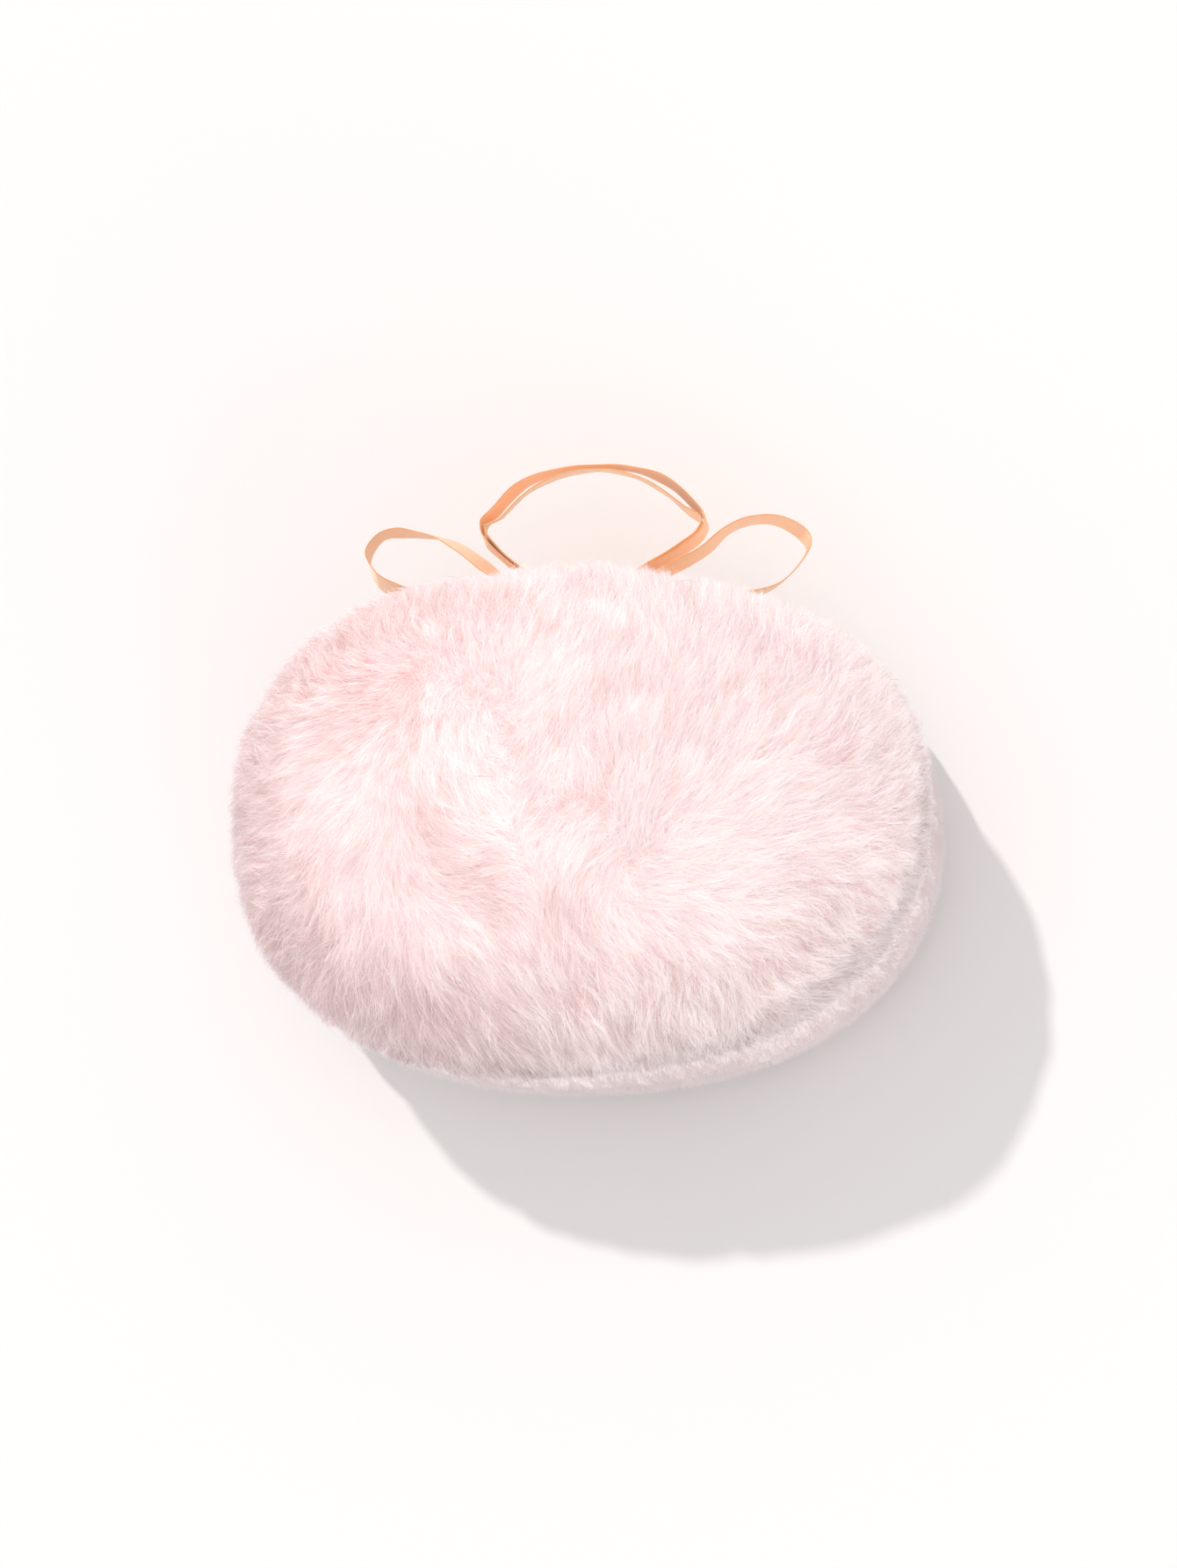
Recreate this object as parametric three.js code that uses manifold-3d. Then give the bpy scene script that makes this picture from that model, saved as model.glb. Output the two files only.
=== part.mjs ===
// Powder puff: two plush panels sewn round a soft filling, with a ribbon hanging loop and bow.
// Millimetres. The puff lies on its short plush back: +Z is up, +X is its length and +Y points
// to the bow. The origin is the middle of the flat rest area underneath.
import * as THREE from 'three';
import Module from 'manifold-3d';

const wasm = await Module();
wasm.setup();

// Driving sizes of the sewn body
const seamLength = 86;
const seamWidth = 59;
const seamHeight = 17;
const outlinePower = 2.3;
const clothThickness = 0.8;
const seamAllowance = 6;
const clearanceGap = 0.35;

// The long plush front panel
const frontCrownHeight = 44;
const frontNapDepth = 8;
const frontBulgeDepth = 1.5;
const frontRimHeight = 5.5;
const frontDomePower = 2.15;

// The short plush back panel
const backNapDepth = 5.5;
const backBulgeDepth = 3.5;
const backRimHeight = 9;
const backSidePower = 2.3;
const restFlatShare = 0.62;

// Where the pile is pressed in at the rim. The fringe of long pile is full at one place round the
// rim and tucked in on the far side, and each dent has a place and a spread round the rim in
// degrees. The shares are of the nap's depth, and of the way from the pole to the rim.
const fringeFullDegrees = 135;
const fringeTuckShare = 0.35;
const frontDentShares = [
  { at: 57, spread: 26, share: 0.5 },
  { at: 100, spread: 30, share: 0.25 },
  { at: 190, spread: 30, share: 0.13 },
];
const backDentShares = [{ at: 33, spread: 36, share: 0.42 }];
const rimStartShare = 0.6;

// The crease between the two plush panels and the thread channel in it
const creaseWidth = 6.5;
const threadChannelWidth = 1.7;

// Threads
const threadDiameter = 0.3;
const threadGap = 0.25;
const closingLength = 46;
const ladderPitch = 3;
const ladderStitchHeight = 0.85;

// Ribbon, bow and hanging loop
const ribbonWidth = 6;
const ribbonThickness = 0.3;
const bowSetbackWidth = 4.7;
const knotLength = 6;
const knotDepth = 4.4;
const knotHeight = 4.4;
const knotWallThickness = 0.6;
const knotCornerRadius = 1.2;
const hangingLoopWidth = 34.4;
const hangingLoopLength = 18.7;
const hangingLoopHeight = 3;
const bowLoopLength = 33.4;
const bowLoopWidth = 11.1;
const bowLoopHeight = 1.5;
const doubledLoopGap = 0.9;
const shoulderLoopGap = 1.7;
const innerLoopLeanDegrees = 12;
const shoulderSpanShare = 0.25;
const tackPitch = 0.9;
const tackStitchLength = 1.3;
const tackCount = 5;

// How far the loops swing, in degrees up and down, and the room that the plush leaves for them
const hangingLoopUpDegrees = 20;
const hangingLoopDownDegrees = 30;
const partingLength = 66;
const partingOverrun = 3;
const partingGap = 1;

// Mesh steps
const aroundSteps = 44;
const domeSteps = 7;
const underSteps = 3;
const ribbonSteps = 48;
const threadSteps = 84;
const ladderStepsEach = 4;

const halfLength = seamLength / 2;
const halfWidth = seamWidth / 2;
const seamRadius = (halfLength + halfWidth) / 2;
const seamGap = threadDiameter + ribbonThickness + 3 * threadGap;
const bowY = halfWidth + bowSetbackWidth;
const partingReach = frontBulgeDepth + frontNapDepth - bowSetbackWidth + partingOverrun;
const channelRadius = seamRadius + threadChannelWidth;
const fullTurn = 2 * Math.PI;

const finish = (color, roughness) =>
  new THREE.MeshStandardMaterial({ color, roughness, metalness: 0 });
const finishes = {
  longPlush: finish(0xfae0e2, 0.95),
  shortPlush: finish(0xefd2d6, 0.9),
  cloth: finish(0xf2d6d9, 0.9),
  fibre: finish(0xfbf8f4, 1),
  thread: finish(0xf4d9dc, 0.7),
  satin: finish(0xf9c69c, 0.4),
  satinShade: finish(0xf2b483, 0.45),
};

/** One closed body from points and triangles. */
function solid(points, triangles) {
  const geometry = new THREE.BufferGeometry();
  geometry.setAttribute('position', new THREE.Float32BufferAttribute(points.flat(), 3));
  geometry.setIndex(triangles.flat());
  geometry.computeVertexNormals();
  return geometry;
}

function mesh(name, geometry, material) {
  const made = new THREE.Mesh(geometry, material);
  made.name = name;
  return made;
}

/** A point of the seam outline, a superellipse, with its outward direction. */
function outlineAt(angle) {
  const c = Math.cos(angle);
  const s = Math.sin(angle);
  const x = Math.sign(c) * Math.abs(c) ** (2 / outlinePower);
  const y = Math.sign(s) * Math.abs(s) ** (2 / outlinePower);
  const slope = outlinePower - 1;
  const out = new THREE.Vector2(
    (Math.sign(x) * Math.abs(x) ** slope) / halfLength,
    (Math.sign(y) * Math.abs(y) ** slope) / halfWidth,
  ).normalize();
  return { x: x * halfLength, y: y * halfWidth, outX: out.x, outY: out.y };
}

/**
 * Carries a profile of [radius, height] points round the seam outline. Within the seam radius
 * a point keeps its share of the outline, and beyond it its distance from the outline. A point
 * on the axis is one vertex, and a profile that doesn't end on the axis closes on itself. The
 * profile may be a function of the turn round the rim.
 */
function carriedRound(profile) {
  const profileAt = typeof profile === 'function' ? profile : () => profile;
  const stations = [];
  for (let i = 0; i < aroundSteps; i++) {
    const at = outlineAt((i / aroundSteps) * fullTurn);
    stations.push({ at, profile: profileAt(Math.atan2(at.y, at.x)) });
  }
  const points = [];
  const rings = stations[0].profile.map(([firstRadius, firstHeight], k) => {
    const first = points.length;
    if (firstRadius === 0) {
      points.push([0, 0, firstHeight]);
      return [first, 0];
    }
    for (const station of stations) {
      const { x, y, outX, outY } = station.at;
      const [radius, height] = station.profile[k];
      const share = Math.min(radius / seamRadius, 1);
      const beyond = Math.max(radius - seamRadius, 0);
      points.push([x * share + outX * beyond, y * share + outY * beyond, height]);
    }
    return [first, 1];
  });
  if (rings[0][1] !== 0) {
    rings.push(rings[0]);
  }
  const triangles = [];
  for (let k = 0; k + 1 < rings.length; k++) {
    const [upper, upperStep] = rings[k];
    const [lower, lowerStep] = rings[k + 1];
    for (let i = 0; i < aroundSteps; i++) {
      const j = (i + 1) % aroundSteps;
      const a = upper + i * upperStep;
      const b = upper + j * upperStep;
      const c = lower + i * lowerStep;
      const d = lower + j * lowerStep;
      if (lowerStep) triangles.push([a, c, d]);
      if (upperStep) triangles.push([a, d, b]);
    }
  }
  return solid(points, triangles);
}

/**
 * Half of a cushion's section, from the axis out to the rim and back in to the seam fold. The
 * rim is a superellipse quarter that starts at flatRadius, and the way back is an ellipse quarter.
 */
function halfSection(side) {
  const points = side.flatRadius > 0 ? [[0, side.poleHeight]] : [];
  for (let k = 0; k <= domeSteps; k++) {
    const turn = (k / domeSteps) * (Math.PI / 2);
    const power = 2 / side.power;
    const out = k === domeSteps ? 1 : Math.sin(turn) ** power;
    const up = k === domeSteps ? 0 : Math.cos(turn) ** power;
    points.push([
      side.flatRadius + (side.rimRadius - side.flatRadius) * out,
      side.rimHeight + (side.poleHeight - side.rimHeight) * up,
    ]);
  }
  for (let k = 1; k <= underSteps; k++) {
    const turn = (k / underSteps) * (Math.PI / 2);
    points.push([
      side.endRadius + (side.rimRadius - side.endRadius) * Math.cos(turn),
      side.rimHeight + (side.endHeight - side.rimHeight) * Math.sin(turn),
    ]);
  }
  return points;
}

/** The cloth face of the front panel, moved inwards by inset and ending at endRadius. */
function frontClothSection(inset, endRadius = seamRadius - inset) {
  return halfSection({
    flatRadius: 0,
    poleHeight: frontCrownHeight - frontNapDepth - inset,
    rimRadius: seamRadius + frontBulgeDepth - inset,
    rimHeight: seamHeight + frontRimHeight,
    endRadius,
    endHeight: seamHeight + seamGap / 2 + inset,
    power: frontDomePower,
  });
}

/** The cloth face of the back panel, moved inwards by inset and ending at endRadius. */
function backClothSection(inset, endRadius = seamRadius - inset) {
  return halfSection({
    flatRadius: seamRadius * restFlatShare,
    poleHeight: backNapDepth + inset,
    rimRadius: seamRadius + backBulgeDepth - inset,
    rimHeight: backRimHeight,
    endRadius,
    endHeight: seamHeight - seamGap / 2 - inset,
    power: backSidePower,
  });
}

/** A panel's cloth: its outer face, its turned-in seam allowance and its inner face. */
function clothPanel(section) {
  const outer = section(0);
  const inner = section(clothThickness);
  const allowanceRadius = seamRadius - seamAllowance;
  const foldHeight = outer.at(-1)[1];
  const innerHeight = inner.at(-1)[1];
  return [
    ...outer,
    [allowanceRadius, foldHeight],
    [allowanceRadius, innerHeight],
    ...inner.reverse(),
  ];
}

/** How far dents press the pile in at a turn round the rim: a bell curve round each dent. */
function pressedShare(turn, dents) {
  const bell = ({ at, spread, share }) => {
    const away = THREE.MathUtils.degToRad(at) - turn;
    const nearest = Math.atan2(Math.sin(away), Math.cos(away));
    return share * Math.exp(-((nearest / THREE.MathUtils.degToRad(spread)) ** 2));
  };
  return dents.reduce((sum, dent) => sum + bell(dent), 0);
}

/** How far the long fringe is tucked in at a turn round the rim, on top of its dents. */
function frontPressedShare(turn) {
  const tuck = (1 - Math.cos(turn - THREE.MathUtils.degToRad(fringeFullDegrees))) / 2;
  return fringeTuckShare * tuck + pressedShare(turn, frontDentShares);
}

function backPressedShare(turn) {
  return pressedShare(turn, backDentShares);
}

/**
 * A panel's plush as a profile for each turn: its outer face, drawn towards the cloth by the
 * pressed share from where the rim starts, then the crease and the face on the cloth.
 */
function plushPanel(outer, section, pressedAt) {
  const cloth = section(0);
  const domeStart = outer.length - underSteps - domeSteps - 1;
  return (turn) => {
    const pressed = outer.map(([radius, height], k) => {
      const outwards = Math.min(Math.max(k - domeStart, 0) / domeSteps, 1);
      const share = pressedAt(turn) * THREE.MathUtils.smoothstep(outwards, rimStartShare, 1);
      const [clothRadius, clothHeight] = cloth[k];
      return [radius + (clothRadius - radius) * share, height + (clothHeight - height) * share];
    });
    const inner = section(-clearanceGap, channelRadius);
    return [...pressed, [channelRadius, pressed.at(-1)[1]], ...inner.reverse()];
  };
}

/** The same profile walked the other way, for the back panel, whose axis end is at the bottom. */
function turnedOver(profile) {
  return typeof profile === 'function' ? (turn) => profile(turn).reverse() : [...profile].reverse();
}

/** The room that the loops sweep through when they swing, cut out of both plush panels. */
function partingCut() {
  const up = THREE.MathUtils.degToRad(hangingLoopUpDegrees);
  const down = THREE.MathUtils.degToRad(hangingLoopDownDegrees);
  const room = ribbonWidth / 2 + partingGap;
  const shape = new THREE.Shape();
  shape.moveTo(partingReach, partingReach * Math.sin(up) + room);
  shape.lineTo(0, room);
  shape.absarc(0, 0, room, Math.PI / 2, 1.5 * Math.PI, false);
  shape.lineTo(partingReach, -partingReach * Math.sin(down) - room);
  shape.closePath();
  const cut = new THREE.ExtrudeGeometry(shape, {
    depth: partingLength,
    bevelEnabled: false,
    curveSegments: 6,
  });
  // The shape's x becomes +Y, its y becomes +Z, and its depth runs along +X.
  cut.applyMatrix4(new THREE.Matrix4().set(0, 0, 1, 0, 1, 0, 0, 0, 0, 1, 0, 0, 0, 0, 0, 1));
  cut.translate(-partingLength / 2, bowY, seamHeight);
  return cut;
}

/** Turns a geometry into a manifold with shared corners. */
function toManifold(geometry) {
  const position = geometry.getAttribute('position');
  const index = geometry.getIndex();
  const corners = index ? [...index.array] : [...Array(position.count).keys()];
  const known = new Map();
  const vertices = [];
  const triVerts = corners.map((corner) => {
    const place = [position.getX(corner), position.getY(corner), position.getZ(corner)];
    const key = place.map((value) => value.toFixed(5)).join();
    if (!known.has(key)) {
      known.set(key, known.size);
      vertices.push(...place);
    }
    return known.get(key);
  });
  return new wasm.Manifold(
    new wasm.Mesh({
      numProp: 3,
      vertProperties: new Float32Array(vertices),
      triVerts: new Uint32Array(triVerts),
    }),
  );
}

function subtracted(body, cut) {
  const left = toManifold(body).subtract(toManifold(cut)).getMesh();
  const geometry = new THREE.BufferGeometry();
  geometry.setAttribute('position', new THREE.BufferAttribute(left.vertProperties, 3));
  geometry.setIndex(new THREE.BufferAttribute(left.triVerts, 1));
  geometry.computeVertexNormals();
  return geometry;
}

/** Sweeps a section of [across, along] points through stations, each with its own two axes. */
function swept(stations, section) {
  const points = [];
  const triangles = [];
  const count = section(0).length;
  stations.forEach((station, k) => {
    for (const [u, v] of section(k)) {
      const point = station.centre
        .clone()
        .addScaledVector(station.across, u)
        .addScaledVector(station.rise, v);
      points.push(point.toArray());
    }
    if (k > 0) {
      for (let i = 0; i < count; i++) {
        const a = (k - 1) * count + i;
        const b = (k - 1) * count + ((i + 1) % count);
        triangles.push([a, b, b + count], [a, b + count, a + count]);
      }
    }
  });
  const last = (stations.length - 1) * count;
  for (let i = 1; i + 1 < count; i++) {
    triangles.push([0, i + 1, i], [last, last + i, last + i + 1]);
  }
  return solid(points, triangles);
}

/** A round thread along points, with four sides. */
function thread(points) {
  const up = new THREE.Vector3(0, 0, 1);
  const radius = threadDiameter / 2;
  const stations = points.map((centre, k) => {
    const before = points[Math.max(k - 1, 0)];
    const after = points[Math.min(k + 1, points.length - 1)];
    const along = after.clone().sub(before).normalize();
    const across = new THREE.Vector3().crossVectors(up, along).normalize();
    const rise = new THREE.Vector3().crossVectors(along, across);
    return { centre, across, rise };
  });
  const ring = [0, 1, 2, 3].map((i) => {
    const turn = (i / 4) * fullTurn;
    return [radius * Math.cos(turn), radius * Math.sin(turn)];
  });
  return swept(stations, () => ring);
}

/**
 * A ribbon through route rows of [x, y, z, lean, fullness]. Its width stands along +Z, leaning
 * out of its loop by lean degrees, and fullness is the share of its width that is spread out.
 */
function ribbon(route, side) {
  const places = new THREE.CatmullRomCurve3(
    route.map(([x, y, z]) => new THREE.Vector3(x, y, z)),
    false,
    'centripetal',
  );
  const shapes = new THREE.CatmullRomCurve3(
    route.map(([, , , lean, fullness]) => new THREE.Vector3(lean, fullness, 0)),
    false,
    'catmullrom',
  );
  const up = new THREE.Vector3(0, 0, 1);
  const fullnesses = [];
  const stations = [];
  for (let k = 0; k <= ribbonSteps; k++) {
    const t = k / ribbonSteps;
    const along = places.getTangent(t).normalize();
    const { x: lean, y: fullness } = shapes.getPoint(t);
    const outward = new THREE.Vector3().crossVectors(along, up).normalize().multiplyScalar(side);
    const turn = THREE.MathUtils.degToRad(lean);
    const rise = up.clone().multiplyScalar(Math.cos(turn)).addScaledVector(outward, Math.sin(turn));
    rise.addScaledVector(along, -rise.dot(along)).normalize();
    const across = new THREE.Vector3().crossVectors(rise, along);
    stations.push({ centre: places.getPoint(t), across, rise });
    fullnesses.push(fullness);
  }
  const half = ribbonThickness / 2;
  return swept(stations, (k) => {
    const reach = (ribbonWidth / 2) * fullnesses[k];
    return [
      [-half, -reach],
      [half, -reach],
      [half, reach],
      [-half, reach],
    ];
  });
}

// The route of the hanging loop from its left root to its right root: shares of its width,
// reach and rise from the middle of the knot, then lean in degrees and fullness.
const hangingLoopRouteShares = [
  [-0.108, 0.075, 0, 0, 0.34],
  [-0.18, 0.12, 0, 0, 0.5],
  [-0.29, 0.225, 0.02, -5, 0.8],
  [-0.387, 0.374, 0.06, -8, 0.96],
  [-0.455, 0.52, 0.14, -10, 1],
  [-0.452, 0.63, 0.24, -9, 1],
  [-0.398, 0.72, 0.38, -2, 1],
  [-0.276, 0.905, 0.7, -3, 1],
  [-0.116, 0.984, 0.95, -7, 1],
  [0.055, 1, 1, -7, 1],
  [0.227, 0.963, 0.9, -2, 1],
  [0.372, 0.856, 0.65, 5, 1],
  [0.475, 0.675, 0.35, 8, 1],
  [0.525, 0.545, 0.2, 7, 1],
  [0.505, 0.445, 0.1, 6, 1],
  [0.425, 0.335, 0.04, 5, 0.95],
  [0.288, 0.2, 0.01, 2, 0.75],
  [0.18, 0.105, 0, 0, 0.5],
  [0.108, 0.075, 0, 0, 0.34],
];

// The routes of the bow loops, from the upper root to the lower root: shares of the reach,
// spread and rise of a bow loop.
const leftBowRouteShares = [
  [-0.112, 0.018, 0, 0, 0.25],
  [-0.19, 0.08, 0, -5, 0.42],
  [-0.3, 0.21, 0, -12, 0.72],
  [-0.42, 0.38, 0, -17, 0.93],
  [-0.49, 0.56, 0.1, -17, 1],
  [-0.57, 0.75, 0.4, -16, 1],
  [-0.65, 0.885, 0.7, -12, 1],
  [-0.75, 0.96, 0.9, -4, 1],
  [-0.84, 1, 1, 0, 1],
  [-0.937, 0.945, 1, 1, 1],
  [-0.991, 0.7, 0.8, -9, 1],
  [-0.952, 0.396, 0.5, -14, 1],
  [-0.85, 0.207, 0.2, -12, 1],
  [-0.74, 0.11, 0.1, -8, 1],
  [-0.54, -0.02, 0, 0, 0.95],
  [-0.3, -0.054, 0, 0, 0.7],
  [-0.112, -0.065, 0, 0, 0.3],
];
const rightBowRouteShares = [
  [0.112, 0, 0, 0, 0.25],
  [0.19, 0.03, 0, 1, 0.42],
  [0.3, 0.12, 0, 2, 0.66],
  [0.435, 0.31, 0, 1, 0.84],
  [0.535, 0.53, 0.1, -3, 0.95],
  [0.63, 0.757, 0.3, -7, 1],
  [0.74, 0.865, 0.6, -5, 1],
  [0.86, 0.83, 0.9, 3, 1],
  [0.96, 0.667, 1, 13, 1],
  [1.003, 0.486, 1, 17, 1],
  [0.96, 0.252, 0.7, 18, 1],
  [0.86, 0.01, 0.3, 16, 1],
  [0.72, -0.108, 0.1, 3, 1],
  [0.52, -0.144, 0, -8, 0.92],
  [0.3, -0.108, 0, -4, 0.66],
  [0.112, -0.08, 0, 0, 0.3],
];

function hangingRoute() {
  return hangingLoopRouteShares.map(([across, out, up, lean, fullness]) => [
    across * hangingLoopWidth,
    out * hangingLoopLength,
    up * hangingLoopHeight,
    lean,
    fullness,
  ]);
}

function bowRoute(routeShares) {
  return routeShares.map(([across, out, up, lean, fullness]) => [
    across * bowLoopLength,
    out * bowLoopWidth,
    up * bowLoopHeight,
    lean,
    fullness,
  ]);
}

/**
 * The same route drawn inwards, for the inner ribbon of the doubled loop. The two lie close at
 * the roots, the corners and the top, and part at both shoulders, where the inner one leans in.
 */
function drawnIn(route) {
  return route.map(([x, y, z, lean, fullness], k) => {
    const before = route[Math.max(k - 1, 0)];
    const after = route[Math.min(k + 1, route.length - 1)];
    const along = new THREE.Vector2(after[0] - before[0], after[1] - before[1]).normalize();
    const fromTop = k / (route.length - 1) - 1 / 2;
    const between = Math.abs(fromTop) < shoulderSpanShare;
    const parted = between ? Math.sin((fromTop / shoulderSpanShare) * Math.PI) ** 2 : 0;
    const gap = doubledLoopGap + (shoulderLoopGap - doubledLoopGap) * parted;
    const innerLean = lean - innerLoopLeanDegrees * parted;
    return [x + along.y * gap, y - along.x * gap, z, innerLean, fullness];
  });
}

function roundedRectangle(width, height, corner) {
  const shape = new THREE.Shape();
  const x = width / 2;
  const y = height / 2;
  shape.moveTo(-x + corner, -y);
  shape.lineTo(x - corner, -y);
  shape.absarc(x - corner, -y + corner, corner, -Math.PI / 2, 0, false);
  shape.lineTo(x, y - corner);
  shape.absarc(x - corner, y - corner, corner, 0, Math.PI / 2, false);
  shape.lineTo(-x + corner, y);
  shape.absarc(-x + corner, y - corner, corner, Math.PI / 2, Math.PI, false);
  shape.lineTo(-x, -y + corner);
  shape.absarc(-x + corner, -y + corner, corner, Math.PI, 1.5 * Math.PI, false);
  return shape;
}

/** Extrudes a shape of the Y-Z plane by length along X, centred on the knot. */
function alongKnot(shape, length) {
  const geometry = new THREE.ExtrudeGeometry(shape, {
    depth: length,
    bevelEnabled: false,
    curveSegments: 5,
  });
  geometry.applyMatrix4(new THREE.Matrix4().set(0, 0, 1, 0, 1, 0, 0, 0, 0, 1, 0, 0, 0, 0, 0, 1));
  geometry.translate(-length / 2, 0, 0);
  return geometry;
}

function knotWrap() {
  const shape = roundedRectangle(knotDepth, knotHeight, knotCornerRadius);
  const hole = roundedRectangle(
    knotDepth - 2 * knotWallThickness,
    knotHeight - 2 * knotWallThickness,
    knotCornerRadius - knotWallThickness / 2,
  );
  shape.holes.push(hole);
  return alongKnot(shape, knotLength);
}

function knotCore() {
  const room = 2 * (knotWallThickness + clearanceGap);
  const shape = roundedRectangle(knotDepth - room, knotHeight - room, knotCornerRadius - knotWallThickness);
  return alongKnot(shape, knotLength - clearanceGap);
}

/** The ribbon tab that runs from the knot in between the two seam allowances. */
function anchorTab() {
  const outerEnd = -knotDepth / 2 - clearanceGap;
  const allowanceHere = seamAllowance * (halfWidth / seamRadius);
  const innerEnd = -bowSetbackWidth - allowanceHere + clearanceGap;
  const tab = new THREE.BoxGeometry(ribbonWidth, outerEnd - innerEnd, ribbonThickness);
  tab.translate(0, (outerEnd + innerEnd) / 2, -(threadGap + threadDiameter) / 2);
  return tab;
}

/** The tack stitches over the knot, a zigzag on its upper face. */
function tackStitches() {
  const height = knotHeight / 2 + threadDiameter / 2 + clearanceGap / 2;
  const points = [];
  for (let k = 0; k <= 2 * tackCount; k++) {
    const along = (k / 2 - tackCount / 2) * tackPitch;
    points.push(new THREE.Vector3(along, (k % 2 ? 0.5 : -0.5) * tackStitchLength, height));
  }
  return thread(points);
}

const seamPerimeter = fullTurn * Math.sqrt((halfLength ** 2 + halfWidth ** 2) / 2);
const closingTurn = (closingLength / seamPerimeter) * fullTurn;

/** The machine seam: a thread between the seam allowances, all round but the closing. */
function machineSeam() {
  const inset = seamRadius - threadDiameter * 2;
  const share = inset / seamRadius;
  const height = seamHeight + (threadGap + ribbonThickness) / 2;
  const start = -Math.PI / 2 + closingTurn / 2;
  const points = [];
  for (let k = 0; k <= threadSteps; k++) {
    const at = outlineAt(start + (k / threadSteps) * (fullTurn - closingTurn));
    points.push(new THREE.Vector3(at.x * share, at.y * share, height));
  }
  return thread(points);
}

/** The hand ladder stitch that closes the seam where the puff was filled. */
function ladderStitch() {
  const waves = Math.round(closingLength / (2 * ladderPitch));
  const steps = waves * 2 * ladderStepsEach;
  const offset = threadChannelWidth - threadDiameter - clearanceGap;
  const points = [];
  for (let k = 0; k <= steps; k++) {
    const at = outlineAt(-Math.PI / 2 + (k / steps - 0.5) * closingTurn);
    const wave = Math.sin((k / ladderStepsEach) * Math.PI);
    const height = seamHeight + ladderStitchHeight * wave;
    points.push(new THREE.Vector3(at.x + at.outX * offset, at.y + at.outY * offset, height));
  }
  return thread(points);
}

/** The fibre filling: both halves inside the cloth, necked where the allowances turn in. */
function fillingProfile() {
  const inset = clothThickness + clearanceGap;
  const upper = frontClothSection(inset);
  const lower = backClothSection(inset);
  const neck = seamRadius - seamAllowance - clearanceGap;
  return [
    ...upper,
    [neck, upper.at(-1)[1]],
    [neck, lower.at(-1)[1]],
    ...turnedOver(lower),
  ];
}

const frontPlushOuter = halfSection({
  flatRadius: 0,
  poleHeight: frontCrownHeight,
  rimRadius: seamRadius + frontBulgeDepth + frontNapDepth,
  rimHeight: seamHeight + frontRimHeight,
  endRadius: seamRadius + creaseWidth,
  endHeight: seamHeight + clearanceGap / 2,
  power: frontDomePower,
});
const backPlushOuter = halfSection({
  flatRadius: seamRadius * restFlatShare,
  poleHeight: 0,
  rimRadius: seamRadius + backBulgeDepth + backNapDepth,
  rimHeight: backRimHeight,
  endRadius: seamRadius + creaseWidth,
  endHeight: seamHeight - clearanceGap / 2,
  power: backSidePower,
});

const puff = new THREE.Group();
const parting = partingCut();
const frontPlush = carriedRound(plushPanel(frontPlushOuter, frontClothSection, frontPressedShare));
const backPanel = plushPanel(backPlushOuter, backClothSection, backPressedShare);
const backPlush = carriedRound(turnedOver(backPanel));
puff.add(
  mesh('front_plush_pile', subtracted(frontPlush, parting), finishes.longPlush),
  mesh('back_plush_pile', subtracted(backPlush, parting), finishes.shortPlush),
  mesh('front_backing_cloth', carriedRound(clothPanel(frontClothSection)), finishes.cloth),
  mesh('back_backing_cloth', carriedRound(turnedOver(clothPanel(backClothSection))), finishes.cloth),
  mesh('fibre_filling', carriedRound(fillingProfile()), finishes.fibre),
  mesh('machine_seam_thread', machineSeam(), finishes.thread),
  mesh('closing_ladder_stitch', ladderStitch(), finishes.thread),
);

const bow = new THREE.Group();
bow.position.set(0, bowY, seamHeight);
bow.add(
  mesh('bow_knot_wrap', knotWrap(), finishes.satin),
  mesh('bow_knot_core', knotCore(), finishes.satinShade),
  mesh('bow_anchor_tab', anchorTab(), finishes.satinShade),
  mesh('bow_tack_stitches', tackStitches(), finishes.thread),
  mesh('hanging_loop_outer_ribbon', ribbon(hangingRoute(), -1), finishes.satin),
  mesh('hanging_loop_inner_ribbon', ribbon(drawnIn(hangingRoute()), -1), finishes.satinShade),
  mesh('bow_left_loop', ribbon(bowRoute(leftBowRouteShares), 1), finishes.satin),
  mesh('bow_right_loop', ribbon(bowRoute(rightBowRouteShares), -1), finishes.satin),
);
puff.add(bow);

export default puff;
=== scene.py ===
# %% [markdown]
# # A plush powder puff with a ribbon bow
# The puff is a flat oval cushion of plush. Its front has long combed pile, its back short velvety
# pile, and a satin ribbon makes a hanging loop and a bow at the seam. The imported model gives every
# solid in millimetre-true places, and this notebook dresses those solids: fibre by fibre for the
# pile, and thread by thread for the ribbon. Every piece is a surface worked out with numpy.

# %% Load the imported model
import math
import bpy
import numpy as np
from mathutils import Matrix, Vector


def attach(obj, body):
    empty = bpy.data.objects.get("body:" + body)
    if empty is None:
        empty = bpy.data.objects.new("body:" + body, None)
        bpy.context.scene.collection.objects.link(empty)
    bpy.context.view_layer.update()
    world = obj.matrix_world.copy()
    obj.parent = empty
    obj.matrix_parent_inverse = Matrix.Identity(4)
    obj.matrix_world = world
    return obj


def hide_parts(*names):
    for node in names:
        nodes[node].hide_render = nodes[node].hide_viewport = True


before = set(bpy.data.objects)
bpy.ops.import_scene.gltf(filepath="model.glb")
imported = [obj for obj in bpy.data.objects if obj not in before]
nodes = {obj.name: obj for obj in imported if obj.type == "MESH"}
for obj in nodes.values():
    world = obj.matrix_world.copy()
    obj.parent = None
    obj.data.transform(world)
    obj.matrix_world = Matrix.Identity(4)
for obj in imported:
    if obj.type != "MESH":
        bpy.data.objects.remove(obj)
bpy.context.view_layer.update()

MM = 0.001

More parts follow.
